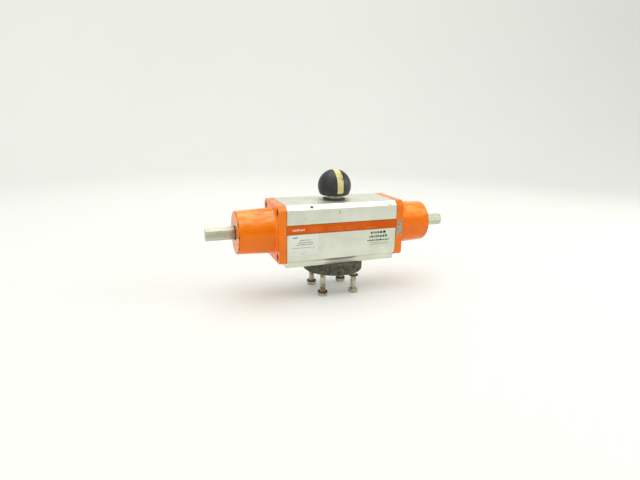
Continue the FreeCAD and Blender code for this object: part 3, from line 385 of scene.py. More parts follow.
def stripe_material():
    """Faded yellow paint: worn at its edges, with a brown stain near the top."""
    g = Graph("stripe_film")
    x, _, z = g.axes()
    rag = g.noise(260.0, 5.0, rough=0.7)
    edge = g.ramp(g.math("ADD", g.math("ABSOLUTE", x), g.times(rag, 2.4 * MM)),
                  STRIPE_HALF + 0.8 * MM, STRIPE_HALF + 1.5 * MM)
    tone = g.noise(70.0, 4.0)
    color = g.mix(g.ramp(tone, 0.3, 0.7), (0.74, 0.64, 0.30), (0.66, 0.52, 0.23))
    low_z, high_z = DOME_LOW.z, DOME_HIGH.z
    stain_z = g.between(z, low_z + 0.62 * (high_z - low_z), low_z + 0.86 * (high_z - low_z), 2 * MM)
    stain = g.times(stain_z, g.ramp(g.noise(170.0, 5.0, rough=0.7), 0.47, 0.60))
    color = g.mix(g.times(stain, 0.85), color, (0.22, 0.14, 0.055))
    chips = g.ramp(g.noise(300.0, 5.0, rough=0.7), 0.70, 0.74)
    color = g.mix(g.most(edge, chips), color, (0.020, 0.019, 0.016))
    return g.finish(color, g.ramp(tone, 0.3, 0.7, 0.45, 0.6), g.bump(rag, 0.06 * MM, 0.7))


def plain_material(name, low, high, roughness, metallic=0.0, scale=150.0, bump=0.03):
    """Two tones of one colour over fine grain, for the pieces inside."""
    g = Graph(name, metallic=metallic)
    tone = g.noise(scale, 4.0, rough=0.6)
    color = g.mix(g.ramp(tone, 0.3, 0.7), low, high)
    rough = g.ramp(tone, 0.3, 0.7, roughness * 0.85, min(1.0, roughness * 1.15))
    return g.finish(color, rough, g.bump(g.noise(scale * 4, 3.0), bump * MM, 0.7))


def paint_node(node, material):
    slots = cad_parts[node].data.materials
    slots.clear()
    slots.append(material)


def dress_frame():
    """A material for every CAD node."""
    body = extrusion_material()
    bearing = plain_material("bearing_plastic", (0.72, 0.69, 0.60), (0.80, 0.78, 0.70), 0.45)
    rubber = plain_material("seal_rubber", (0.016, 0.014, 0.012), (0.035, 0.032, 0.028), 0.6)
    pinion = plain_material("pinion_steel", (0.42, 0.42, 0.39), (0.52, 0.52, 0.49), 0.33, 1.0, 300.0)
    piston = plain_material("piston_aluminium", (0.60, 0.60, 0.58), (0.70, 0.70, 0.68), 0.42, 0.9)
    spring = plain_material("spring_steel", (0.10, 0.11, 0.12), (0.20, 0.21, 0.23), 0.35, 0.8)
    black = stained_steel_material("black_steel", (0.10, 0.09, 0.08), (0.22, 0.20, 0.17),
                                   (0.07, 0.035, 0.02), 0.5)
    stainless = stained_steel_material("stainless_steel", (0.62, 0.60, 0.48), (0.38, 0.35, 0.26),
                                       (0.19, 0.13, 0.07), 0.55)
    browned = stained_steel_material("spring_washer_steel", (0.16, 0.11, 0.07), (0.08, 0.045, 0.025),
                                     (0.05, 0.022, 0.012), 0.7)
    pairs = {
        "body": body,
        "band_front": band_material(),
        "flange_ring": casting_material(),
        "ring_screws": black,
        "flange_bolts": stainless,
        "split_washers": browned,
        "lower_bush": bearing,
        "upper_bush": bearing,
        "pinion_shaft": pinion,
        "lower_shaft_seal": rubber,
        "upper_shaft_seal": rubber,
        "thrust_washer": plain_material("thrust_plastic", (0.03, 0.028, 0.022), (0.06, 0.055, 0.045), 0.5),
        "shaft_circlip": black,
        "indicator_dome": dome_material(),
        "indicator_stripe": stripe_material(),
        "label_left": label_material("label_film", (0.74, 0.77, 0.70), (0.80, 0.83, 0.76)),
        "label_right": label_material("label_film_right", (0.66, 0.70, 0.57), (0.71, 0.75, 0.62)),
        "end_cap_left": paint_material("orange_paint"),
        "end_cap_right": paint_material("orange_paint_worn", patch=True),
    }
    pairs["band_back"] = pairs["band_front"]
    pairs["passage_plug"] = plain_material("plug_metal", (0.13, 0.14, 0.10), (0.24, 0.25, 0.19), 0.6, 0.5)
    hexes = drawn_bar_material()
    for side, _ in SIDES:
        pairs[f"cap_seal_{side}"] = rubber
        pairs[f"cap_screws_{side}"] = black
        pairs[f"piston_{side}"] = piston
        pairs[f"piston_seal_{side}"] = rubber
        pairs[f"piston_guide_{side}"] = bearing
        pairs[f"rack_pad_{side}"] = bearing
        pairs[f"outer_spring_{side}"] = spring
        pairs[f"inner_spring_{side}"] = spring
        pairs[f"stop_screw_{side}"] = hexes
        pairs[f"stop_washer_{side}"] = rubber
    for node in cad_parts:
        paint_node(node, pairs[node])
    return pairs


def build_pieces(pairs):
    """The detailed pieces that stand in for the CAD nodes one can see."""
    extruded_body(pairs["body"])
    plug(pairs["passage_plug"])
    film("sticker_left", "label_left", pairs["label_left"])
    film("sticker_right", "label_right", pairs["label_right"])
    rough_ring(pairs["flange_ring"])
    flange_bolts(pairs["flange_bolts"])
    spring_washers(pairs["split_washers"])
    socket_heads("ring_cap_screws", level_corners(*RING_SCREWS), "Z", -(RING_LOW.z + MM), -1,
                 4.25 * MM, 5 * MM, 4 * MM, 2.5 * MM, 19 * MM, pairs["ring_screws"], "ring_screws")
    thrust_collar(pairs["thrust_washer"])
    retaining_ring(pairs["shaft_circlip"])
    dome(pairs["indicator_dome"])
    stripe(pairs["indicator_stripe"])
    for side, way in SIDES:
        end_cap(side, way, pairs[f"end_cap_{side}"])
        socket_heads(f"cap_socket_screws_{side}", CAP_SCREWS, "X", FLANGE_X - SCREW_SUNK, way,
                     5 * MM, 6 * MM, 5 * MM, 3 * MM, 20 * MM,
                     pairs[f"cap_screws_{side}"], f"cap_screws_{side}")
        hex_stop(side, way, pairs[f"stop_screw_{side}"])
        stop_washer(side, way, pairs[f"stop_washer_{side}"])
        coil(f"outer_spring_{side}", 2 * MM, 12 * MM, way, pairs[f"outer_spring_{side}"])
        coil(f"inner_spring_{side}", 1.25 * MM, 9 * MM, way, pairs[f"inner_spring_{side}"])


# ---- mesh tools ----


def linked(name, data):
    """A new object in the scene."""
    thing = bpy.data.objects.new(name, data)
    bpy.context.scene.collection.objects.link(thing)
    return thing


def mesh_from(name, mesh):
    """Writes a bmesh to a mesh and frees it."""
    made = bpy.data.meshes.new(name)
    mesh.to_mesh(made)
    mesh.free()
    return made


def object_from(name, mesh):
    """Closes a bmesh into an object; settle() shades it."""
    bmesh.ops.remove_doubles(mesh, verts=mesh.verts, dist=SAME_POINT)
    bmesh.ops.recalc_face_normals(mesh, faces=mesh.faces)
    return linked(name, mesh_from(name, mesh))


def rounded(corners, steps=6, closed=True):
    """Corners (u, v, radius) as points, each corner turned into an arc of its radius."""
    points = []
    count = len(corners)
    for i, (u, v, radius) in enumerate(corners):
        here = Vector((u, v))
        ends = not closed and i in (0, count - 1)
        if radius <= 0 or ends:
            points.append((u, v))
            continue
        back = (Vector(corners[i - 1][:2]) - here).normalized()
        ahead = (Vector(corners[(i + 1) % count][:2]) - here).normalized()
        half = back.angle(ahead) / 2
        centre = here + (back + ahead).normalized() * (radius / math.sin(half))
        start = here + back * (radius / math.tan(half)) - centre
        sweep = math.pi - 2 * half
        way = 1 if back.x * ahead.y - back.y * ahead.x < 0 else -1
        for step in range(steps + 1):
            turn = Matrix.Rotation(way * sweep * step / steps, 2)
            points.append(tuple(centre + turn @ start))
    return points


def along(axis, distance, radius, angle):
    """A point at a distance along an axis, a radius off it and an angle round it."""
    u, v = radius * math.cos(angle), radius * math.sin(angle)
    return {"X": Vector((distance, u, v)), "Y": Vector((v, distance, u)), "Z": Vector((u, v, distance))}[axis]


def lathe(mesh, profile, axis="Z", segments=96, centre=(0, 0, 0), closed=True):
    """Turns a profile of (distance, radius) points about an axis; a closed profile makes a ring."""
    centre = Vector(centre)
    rings = []
    for distance, radius in profile:
        if radius < 1e-9:
            rings.append([mesh.verts.new(centre + along(axis, distance, 0, 0))])
            continue
        angles = (2 * math.pi * i / segments for i in range(segments))
        rings.append([mesh.verts.new(centre + along(axis, distance, radius, a)) for a in angles])
    pairs = list(zip(rings, rings[1:])) + ([(rings[-1], rings[0])] if closed else [])
    for first, second in pairs:
        for i in range(segments):
            j = (i + 1) % segments
            corners = [first[i % len(first)], first[j % len(first)],
                       second[j % len(second)], second[i % len(second)]]
            unique = list(dict.fromkeys(corners))
            if len(unique) > 2:
                mesh.faces.new(unique)


def prism(mesh, outline, low, high, axis="X", centre=(0, 0, 0)):
    """A block with this outline between two places along the axis."""
    centre = Vector(centre)
    place = {
        "X": lambda u, v, d: Vector((d, u, v)),
        "Y": lambda u, v, d: Vector((u, d, v)),
        "Z": lambda u, v, d: Vector((u, v, d)),
    }[axis]
    bottom = [mesh.verts.new(centre + place(u, v, low)) for u, v in outline]
    top = [mesh.verts.new(centre + place(u, v, high)) for u, v in outline]
    mesh.faces.new(bottom)
    mesh.faces.new(top)
    for i in range(len(outline)):
        j = (i + 1) % len(outline)
        mesh.faces.new((bottom[i], bottom[j], top[j], top[i]))
    return bottom, top


def round_edges(mesh, radius, picks, segments=4):
    edges = [edge for edge in mesh.edges if picks(edge)]
    bmesh.ops.bevel(mesh, geom=edges, offset=radius, segments=segments, profile=0.5, affect="EDGES")


def combine(base, tool, operation):
    """Applies one boolean to the base and deletes the tool."""
    step = base.modifiers.new("combine", "BOOLEAN")
    step.operation = operation
    step.solver = "EXACT"
    step.object = tool
    graph = bpy.context.evaluated_depsgraph_get()
    made = bpy.data.meshes.new_from_object(base.evaluated_get(graph))
    base.modifiers.clear()
    base.data = made
    bpy.data.objects.remove(tool)
    return base


def cut(base, tool):
    return combine(base, tool, "DIFFERENCE")


def hexagon(flats, turn=0.0):
    """Corners of a hexagon by its width across the flats; at turn 0 a corner points along the first axis."""
    corner = flats / math.sqrt(3)
    angles = (turn + math.pi / 3 * i for i in range(6))
    return [(corner * math.cos(a), corner * math.sin(a)) for a in angles]


def settle(piece, body, material, *nodes):
    """Gives a piece its material and body, and puts it in place of CAD nodes."""
    piece.data.materials.clear()
    piece.data.materials.append(material)
    piece.data.shade_smooth()
    piece.data.set_sharp_from_angle(angle=SHARP_EDGE)
    even = piece.modifiers.new("even_shading", "WEIGHTED_NORMAL")
    even.keep_sharp = True
    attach(piece, body)
    if nodes:
        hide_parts(*nodes)
    return piece


# ---- pieces ----


def flange_outline(soft):
    """The cap's flange seen along X, from the cylinder's axis: bevels above, rounded corners below."""
    half, top, low = CAP_HIGH.y, BODY_HIGH.z - AXIS_Z, CAP_LOW.z - AXIS_Z
    right = [(half, low, 3 * MM), (half, top - BEVEL_TALL, soft), (half - BEVEL_WIDE, top, soft)]
    return rounded(right + [(-y, z, radius) for y, z, radius in reversed(right)])


def arc(centre_u, centre_v, radius, start, end, steps=8):
    """Points of an arc between two angles in degrees, measured from the first axis."""
    turns = [math.radians(start + (end - start) * i / steps) for i in range(steps + 1)]
    return [(centre_u + radius * math.cos(t), centre_v + radius * math.sin(t)) for t in turns]


def solid_of_turning(name, profile, axis="X", centre=(0, 0, 0), segments=128, way=1, closed=False):
    mesh = bmesh.new()
    lathe(mesh, [(distance * way, radius) for distance, radius in profile], axis, segments, centre, closed)
    return object_from(name, mesh)


def turned_at(name, places, profile, axis="X", segments=48):
    """The same turned solid at each place."""
    mesh = bmesh.new()
    for centre in places:
        lathe(mesh, profile, axis, segments, centre, False)
    return object_from(name, mesh)


def cylinders(name, places, radius, low, high, axis="X", segments=48):
    """Cutters: one cylinder at each place, between two distances along the axis."""
    return turned_at(name, places, [(low, 0), (low, radius), (high, radius), (high, 0)], axis, segments)


def end_cap(side, way, material):
    """Cast cap: flange with softened edges, tapered barrel on a fillet, counterbores and hollow."""
    face, seat = FLANGE_X, END_X
    mesh = bmesh.new()
    low, high = sorted((seat * way, face * way))
    prism(mesh, flange_outline(0.8 * MM), low, high, "X", ON_AXIS)
    round_edges(mesh, 0.9 * MM, lambda e: all(abs(abs(v.co.x) - face) < ON_PLANE for v in e.verts))
    round_edges(mesh, 0.35 * MM, lambda e: all(abs(abs(v.co.x) - seat) < ON_PLANE for v in e.verts), 2)
    cap = object_from(f"cap_casting_{side}", mesh)

    def turned(name, profile, segments):
        return solid_of_turning(name, profile, "X", ON_AXIS, segments, way)

    base, end, fillet, rim = 32.8 * MM, 30.5 * MM, 2.6 * MM, 1.7 * MM
    foot = face - 0.05 * MM
    profile = [(face - 4 * MM, 0), (face - 4 * MM, base + fillet)]
    profile += arc(foot + fillet, base + fillet - 0.1 * MM, fillet, 180, 270)
    profile += arc(RIM_X - rim, end - rim, rim, 88, 0)
    profile += [(RIM_X, 0)]
    combine(cap, turned("barrel", profile, 160), "UNION")

    spigot, start = 32.9 * MM, seat - 3 * MM
    profile = [(start, 0), (start, spigot), (seat + MM, spigot), (seat + MM, 0)]
    combine(cap, turned("spigot", profile, 128), "UNION")
    hollow, start, wall = 26.5 * MM, seat - 4 * MM, RIM_X - 8 * MM
    cut(cap, turned("chamber", [(start, 0), (start, hollow), (wall, hollow), (wall, 0)], 96))
    hole = [(RIM_X - 9 * MM, 0), (RIM_X - 9 * MM, 6.1 * MM), (RIM_X - 0.7 * MM, 6.1 * MM),
            (RIM_X + MM, 7.8 * MM), (RIM_X + MM, 0)]
    cut(cap, turned("stop_hole", hole, 64))
    bore = [(face - 6.4 * MM, 0), (face - 6.4 * MM, 5.5 * MM), (face - 0.5 * MM, 5.5 * MM),
            (face + 0.5 * MM, 6.5 * MM), (face + 0.5 * MM, 0)]
    cut(cap, turned_at("counterbores", CAP_SCREWS, [(x * way, r) for x, r in bore]))
    through = sorted(((seat - MM) * way, (face - 6 * MM) * way))
    cut(cap, cylinders("screw_holes", CAP_SCREWS, 3.3 * MM, *through))
    return settle(cap, "housing", material, f"end_cap_{side}")


def socket_heads(name, places, axis, top, way, radius, tall, key, shank, reach, material, node):
    """Socket head screws: plain round heads with a softened rim and a hexagon socket."""
    edge, low = 0.6 * MM, top - tall
    profile = [(low - reach, 0), (low - reach, shank), (low, shank), (low, radius)]
    profile += arc(top - edge, radius - edge, edge, 90, 0, 4) + [(top, 0)]
    piece = turned_at(name, places, [(d * way, r) for d, r in profile], axis)
    mesh = bmesh.new()
    for centre in places:
        ends = sorted(((top - tall * 0.55) * way, (top + MM) * way))
        prism(mesh, hexagon(key), *ends, axis, centre)
    cut(piece, object_from("sockets", mesh))
    return settle(piece, "housing", material, node)


def hex_stop(side, way, material):
    """Travel stop: drawn hexagon with softened edges, turned bevel at its end, on a round shank."""
    start, end = RIM_X + MM, max(abs(corner.x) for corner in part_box(f"stop_screw_{side}"))
    mesh = bmesh.new()
    outline = rounded([(u, v, 0.4 * MM) for u, v in hexagon(HEX_FLATS, math.pi / 6 - HEX_LEAN[side])], 4)
    ends = sorted((start * way, end * way))
    prism(mesh, outline, *ends, "X", ON_AXIS)
    bar = object_from(f"hex_stop_{side}", mesh)
    corner = HEX_FLATS / math.sqrt(3)
    turned = [(start - MM, 0), (start - MM, corner - 0.6 * MM), (start, corner - 0.6 * MM),
              (start + 0.5 * MM, corner + 0.2 * MM), (end - 0.95 * MM, corner + 0.2 * MM)]
    turned += [(end - 0.15 * MM, corner - 0.75 * MM), (end, corner - 0.95 * MM), (end, 0)]
    combine(bar, solid_of_turning("turned", turned, "X", ON_AXIS, 96, way), "INTERSECT")
    tip = abs(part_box(f"stop_screw_{side}")[0 if way > 0 else 1].x)
    shank = [(tip, 0), (tip, 5 * MM), (tip + MM, 6 * MM), (start + 0.5 * MM, 6 * MM), (start + 0.5 * MM, 0)]
    combine(bar, solid_of_turning("shank", shank, "X", ON_AXIS, 64, way), "UNION")
    return settle(bar, f"stop_screw_{side}", material, f"stop_screw_{side}")


def stop_washer(side, way, material):
    """Bonded sealing washer: thin ring with a bulged edge."""
    near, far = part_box("stop_washer_right")
    low, high, outer, inner = near.x, far.x, far.y, 6.05 * MM
    edge = (high - low) / 2
    profile = [(low, inner)] + arc((low + high) / 2, outer - edge, edge, 180, 0) + [(high, inner)]
    ring = solid_of_turning(f"seal_washer_{side}", profile, "X", ON_AXIS, 96, way, True)
    return settle(ring, f"stop_washer_{side}", material, f"stop_washer_{side}")


def body_outline():
    """The extrusion's outside, seen along X: bevels, side grooves, coves and lips."""
    half, top, low = BODY_HIGH.y, BODY_HIGH.z - AXIS_Z, BODY_LOW.z - AXIS_Z
    band_low, band_high = (corner.z - AXIS_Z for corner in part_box("band_front"))
    groove, cove = half - MM, 6 * MM
    cove_level = low + cove * 0.75
    soft = 0.45 * MM
    upper = [(half - BEVEL_WIDE, top, soft), (half, top - BEVEL_TALL, soft), (half, band_high, 0.12 * MM),
             (groove, band_high, 0), (groove, band_low, 0), (half, band_low, 0.12 * MM)]
    side = rounded([(0, top, 0)] + upper, 4, closed=False)[1:]
    side += [(half, cove_level + cove + 0.4 * MM)]
    side += arc(half, cove_level, cove, 94, 180, 14)
    lip = half - cove
    side += [(lip, low + 0.5 * MM), (lip - 0.5 * MM, low)]
    return side + [(-y, z) for y, z in reversed(side)]


def on_bevel():
    """Carries a shape from the origin, standing up, to the plug's place, square to the bevel."""
    low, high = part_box("passage_plug")
    out = Vector((0, -BEVEL_TALL, BEVEL_WIDE)).normalized()
    lean = Vector((0, 0, 1)).rotation_difference(out).to_matrix().to_4x4()
    return Matrix.Translation((low + high) / 2) @ lean


def extruded_body(material):
    """The body with its bore, its round coves, and every hole that shows."""
    half, top = BODY_HIGH.y, BODY_HIGH.z
    mesh = bmesh.new()
    prism(mesh, body_outline(), -END_X, END_X, "X", ON_AXIS)
    piece = object_from("extruded_body", mesh)
    cut(piece, cylinders("bore", [ON_AXIS], 33 * MM, -END_X - MM, END_X + MM, "X", 128))
    low = BODY_LOW.z
    wide, step, narrow = 20.5 * MM, low + 8 * MM, 18.6 * MM
    bore = [(low - MM, 0), (low - MM, wide), (step, wide), (step, narrow), (AXIS_Z, narrow), (AXIS_Z, 0)]
    cut(piece, solid_of_turning("shaft_bore_low", bore, "Z", segments=96))
    wide, step, narrow = 14 * MM, top - 4 * MM, 12.1 * MM
    bore = [(AXIS_Z, 0), (AXIS_Z, narrow), (step, narrow), (step, wide), (top + MM, wide), (top + MM, 0)]
    cut(piece, solid_of_turning("shaft_bore_high", bore, "Z", segments=96))

    def drill(places, axis, face, out, radius, deep, name, chamfer=0.4 * MM):
        profile = [(-deep - radius * 0.5, 0), (-deep, radius), (-chamfer, radius),
                   (chamfer, radius + chamfer * 2), (chamfer, 0)]
        cut(piece, turned_at(name, places, [(face + d * out, r) for d, r in profile], axis, 40))

    drill(level_corners(*ACCESSORY_HOLES), "Z", top, 1, 2.1 * MM, 8 * MM, "top_holes")
    drill(level_corners(BOLT_AT, BOLT_AT), "Z", low, -1, 4.1 * MM, 16 * MM, "bolt_holes")
    drill(level_corners(*RING_SCREWS), "Z", low, -1, 2.6 * MM, 10 * MM, "ring_holes")
    ports = [(x, 0, PORT_Z) for x in (-PORT_X, PORT_X)]
    drill(ports, "Y", half, 1, 5.8 * MM, 6 * MM, "ports", 0.7 * MM)
    drill(ports, "Y", half, 1, 2.5 * MM, 14 * MM, "passages", 0.1 * MM)
    valve = [(x, 0, PORT_Z + z) for x, z in four_corners(*VALVE_HOLES)]
    drill(valve, "Y", half, 1, 2.1 * MM, 7 * MM, "valve_holes")
    for way in (1, -1):
        drill(CAP_SCREWS, "X", END_X * way, way, 3.1 * MM, 20 * MM, "end_holes")
    cutter = cylinders("plug_hole", [(0, 0, 0)], 2.6 * MM, -2.2 * MM, 3 * MM, "Z", 40)
    cutter.data.transform(on_bevel())
    cut(piece, cutter)
    return settle(piece, "housing", material, "body")


def dome(material):
    """Ball of the indicator, flat and hollow below, with a softened lower edge."""
    radius, centre_z, low = DOME_RADIUS - 0.12 * MM, DOME_CENTRE, DOME_LOW.z
    flat = math.degrees(math.asin((low + 1.3 * MM - centre_z) / radius))
    profile = [(centre_z + radius, 0)]
    for step in range(1, 65):
        angle = math.radians(90 + (flat - 90) * step / 64)
        profile.append((centre_z + radius * math.sin(angle), radius * math.cos(angle)))
    edge = profile[-1][1]
    profile += [(low + 0.75 * MM, edge - 0.55 * MM), (low + 0.3 * MM, edge - 1.3 * MM),
                (low, edge - 2.6 * MM)]
    profile += [(low, 16.5 * MM), (low + 10 * MM, 16.5 * MM), (low + 10 * MM, 11 * MM), (low, 11 * MM)]
    profile += [(low, 8.6 * MM), (low + 9.1 * MM, 8.6 * MM), (low + 9.1 * MM, 0)]
    ball = solid_of_turning("indicator_ball", profile, "Z", (0, 0, 0), 144)
    return settle(ball, "pinion", material, "indicator_dome")


def stripe(material):
    """Paint-like band over the ball: edges run down into the ball, ends rounded, outline slightly uneven."""
    end_angle = math.asin((STRIPE_LOW.z - DOME_CENTRE) / DOME_RADIUS)
    rows, columns = 180, 14
    reach = math.pi / 2 - end_angle
    mesh = bmesh.new()
    layers = []
    for inner in (False, True):
        grid = []
        for row in range(rows + 1):
            along_share = -1 + 2 * row / rows
            from_end = (1 - abs(along_share)) * reach * DOME_RADIUS
            corner = 2.2 * MM
            pull = corner - math.sqrt(max(0.0, corner ** 2 - (corner - min(from_end, corner)) ** 2))
            line = []
            for column in range(columns + 1):
                across = -1 + 2 * column / columns
                wander = noise.noise(Vector((along_share * 9, math.copysign(3.0, across), 0.7))) * 0.5 * MM
                x = across * (STRIPE_HALF - pull - 0.3 * MM + wander * abs(across) ** 4)
                fall = 0.22 * MM * max(0.0, (abs(across) - 0.86) / 0.14) ** 2
                fall = max(fall, 0.22 * MM * max(0.0, 1 - from_end / (0.4 * MM)))
                radius = DOME_RADIUS - 0.8 * MM if inner else DOME_RADIUS - 0.005 * MM - fall
                ring = math.sqrt(radius ** 2 - x ** 2)
                turn = along_share * reach
                line.append(mesh.verts.new((x, ring * math.sin(turn), DOME_CENTRE + ring * math.cos(turn))))
            grid.append(line)
        layers.append(grid)
    for grid in layers:
        for row in range(rows):
            for column in range(columns):
                mesh.faces.new((grid[row][column], grid[row][column + 1],
                                grid[row + 1][column + 1], grid[row + 1][column]))
    top, bottom = layers
    border = [(0, c) for c in range(columns)] + [(r, columns) for r in range(rows)]
    border += [(rows, c) for c in range(columns, 0, -1)] + [(r, 0) for r in range(rows, 0, -1)]
    for (r1, c1), (r2, c2) in zip(border, border[1:] + border[:1]):
        mesh.faces.new((top[r1][c1], top[r2][c2], bottom[r2][c2], bottom[r1][c1]))
    return settle(object_from("indicator_band", mesh), "pinion", material, "indicator_stripe")


def rough_ring(material):
    """Cast ring: softened edges, slightly pitted sides, bolt holes and counterbored screws."""
    low, high, outer, inner, edge = RING_LOW.z, RING_HIGH.z, RING_HIGH.x, 27.5 * MM, 1.4 * MM
    profile = [(low, inner + (outer - edge - inner) * step / 8) for step in range(8)]
    profile += arc(low + edge, outer - edge, edge, 180, 90, 6)
    profile += [(low + edge + (high - low - 2 * edge) * step / 16, outer) for step in range(1, 16)]
    profile += arc(high - edge, outer - edge, edge, 90, 0, 6)
    profile += [(high, inner + 0.6 * MM), (high - 0.6 * MM, inner), (low + 0.6 * MM, inner)]
    mesh = bmesh.new()
    lathe(mesh, profile, "Z", 320)
    for vert in mesh.verts:
        spot = vert.co
        away = Vector((spot.x, spot.y, 0))
        if away.length < inner + 2 * MM:
            continue
        depth = noise.fractal(spot * 160, 1.0, 2.0, 3)
        pit = max(0.0, noise.noise(spot * 420) - 0.28)
        sunk = min(0.5, max(0.0, 0.16 + 0.22 * depth) + pit * 0.7) * MM
        if spot.z < low + 1e-5:
            vert.co.z += sunk * 0.7
        elif spot.z < high - edge:
            vert.co -= away.normalized() * sunk
    ring = object_from("cast_ring", mesh)
    places = level_corners(BOLT_AT, BOLT_AT)
    cut(ring, cylinders("ring_bolt_holes", places, 4.4 * MM, low - MM, high + MM, "Z"))
    places = level_corners(*RING_SCREWS)
    cut(ring, cylinders("ring_counterbores", places, 4.75 * MM, low - MM, low + 6 * MM, "Z"))
    cut(ring, cylinders("ring_screw_holes", places, 2.8 * MM, low + 5 * MM, high + MM, "Z", 32))
    return settle(ring, "housing", material, "flange_ring")


def flange_bolts(material):
    """Four M8 hexagon bolts, head down: chamfered faces, washer face, smooth shank."""
    flats, tall = BOLT_FLATS, BOLT_HEAD
    corner = flats / math.sqrt(3)
    heads, turned, shanks = bmesh.new(), bmesh.new(), bmesh.new()
    for x, y in four_corners(BOLT_AT, BOLT_AT):
        turn = math.radians(-15 if x * y > 0 else 15)
        outline = rounded([(u, v, 0.35 * MM) for u, v in hexagon(flats, turn)], 3)
        prism(heads, outline, 0, tall - 0.3 * MM, "Z", (x, y, 0))
        profile = [(0, 0), (0, flats / 2 - 0.2 * MM), (0.25 * MM, flats / 2 + 0.1 * MM),
                   (0.95 * MM, corner + 0.1 * MM), (tall + MM, corner + 0.1 * MM), (tall + MM, 0)]
        lathe(turned, profile, "Z", 72, (x, y, 0), False)
        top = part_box("flange_bolts")[1].z
        profile = [(tall - MM, 0), (tall - MM, 5.8 * MM), (tall, 5.8 * MM), (tall, 4.6 * MM),
                   (tall + 0.5 * MM, 4.0 * MM), (top - MM, 4.0 * MM), (top, 3.2 * MM), (top, 0)]
        lathe(shanks, profile, "Z", 64, (x, y, 0), False)
    bolts = object_from("hex_bolts", heads)
    combine(bolts, object_from("head_cones", turned), "INTERSECT")
    combine(bolts, object_from("shanks", shanks), "UNION")
    return settle(bolts, "housing", material, "flange_bolts")


def spring_washers(material):
    """Split spring washers: square section wound a little under one turn, ends apart."""
    inner, outer, thick = 4.2 * MM, 7.35 * MM, 1.75 * MM
    low = BOLT_HEAD
    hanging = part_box("split_washers")[1].z - 2.2 * MM
    mesh = bmesh.new()
    section = rounded([(inner, 0, 0.15 * MM), (outer, 0, 0.4 * MM),
                       (outer, thick, 0.4 * MM), (inner, thick, 0.15 * MM)], 3)
    draw = random.Random(8)
    steps = 56
    for x, y in four_corners(BOLT_AT, BOLT_AT):
        base = hanging if x > 0 > y else low
        first = draw.uniform(0, 2 * math.pi)
        rings = []
        for step in range(steps + 1):
            angle = first + math.radians(351) * step / steps
            rise = 0.42 * MM * step / steps
            rings.append([mesh.verts.new((x + r * math.cos(angle), y + r * math.sin(angle), base + h + rise))
                          for r, h in section])
        for one, two in zip(rings, rings[1:]):
            for i in range(len(section)):
                j = (i + 1) % len(section)
                mesh.faces.new((one[i], one[j], two[j], two[i]))
        mesh.faces.new(rings[0])
        mesh.faces.new(rings[-1])
    return settle(object_from("spring_washers", mesh), "housing", material, "split_washers")


def thrust_collar(material):
    low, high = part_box("thrust_washer")
    edge, inner = 0.4 * MM, 12.1 * MM
    profile = [(low.z, inner)] + arc(low.z + edge, high.x - edge, edge, 180, 90, 4)
    profile += arc(high.z - edge, high.x - edge, edge, 90, 0, 4) + [(high.z, inner)]
    ring = solid_of_turning("thrust_collar", profile, "Z", (0, 0, 0), 96, 1, True)
    return settle(ring, "pinion", material, "thrust_washer")


def retaining_ring(material):
    """Circlip whose ring tapers towards two drilled ears."""
    low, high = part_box("shaft_circlip")
    gap = math.radians(19)
    inner, steps = 11.3 * MM, 72
    outline_out, outline_in = [], []
    for step in range(steps + 1):
        angle = -math.pi + gap + (2 * math.pi - 2 * gap) * step / steps
        wide = (2.0 + 0.9 * math.cos(angle)) * MM
        outline_out.append(((inner + wide) * math.cos(angle), (inner + wide) * math.sin(angle)))
        outline_in.append((inner * math.cos(angle), inner * math.sin(angle)))
    mesh = bmesh.new()
    prism(mesh, outline_out + outline_in[::-1], low.z, high.z, "Z")
    ring = object_from("retaining_ring", mesh)
    ears = [(-13.3 * MM, y, 0) for y in (-4.5 * MM, 4.5 * MM)]
    combine(ring, cylinders("ears", ears, 2.1 * MM, low.z, high.z, "Z", 32), "UNION")
    cut(ring, cylinders("ear_holes", ears, 0.9 * MM, low.z - MM, high.z + MM, "Z", 24))
    return settle(ring, "pinion", material, "shaft_circlip")


def plug(material):
    """Grub screw in the bevel, with a hexagon socket."""
    profile = [(-1.2 * MM, 0), (-1.2 * MM, 2.45 * MM), (0.9 * MM, 2.45 * MM),
               (1.2 * MM, 2.1 * MM), (1.2 * MM, 0)]
    screw = solid_of_turning("bevel_plug", profile, "Z", (0, 0, 0), 40)
    mesh = bmesh.new()
    prism(mesh, hexagon(2.5 * MM), -0.2 * MM, 2 * MM, "Z")
    cut(screw, object_from("plug_socket", mesh))
    screw.data.transform(on_bevel())
    return settle(screw, "housing", material, "passage_plug")


def coil(node, wire, pitch, way, material):
    """Return spring of round wire that bears on the cap's end wall, built at one fixed length."""
    near, far = sorted(abs(corner.x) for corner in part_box(node))
    radius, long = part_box(node)[1].y - wire, far - near
    turns = (long - 2 * wire) / pitch
    steps, sides = round(turns * 40), 12
    mesh = bmesh.new()
    rings = []
    for step in range(steps + 1):
        angle = 2 * math.pi * turns * step / steps
        out = Vector((0, math.cos(angle), math.sin(angle)))
        centre = Vector(((near + wire + (long - 2 * wire) * step / steps) * way, 0, AXIS_Z)) + out * radius
        around = (2 * math.pi * i / sides for i in range(sides))
        rings.append([mesh.verts.new(centre + wire * (out * math.cos(a) + Vector((math.sin(a), 0, 0))))
                      for a in around])
    for one, two in zip(rings, rings[1:]):
        for i in range(sides):
            j = (i + 1) % sides
            mesh.faces.new((one[i], one[j], two[j], two[i]))
    mesh.faces.new(rings[0])
    mesh.faces.new(rings[-1])
    spring = settle(object_from(f"wound_{node}", mesh), "housing", material, node)
    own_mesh(spring)


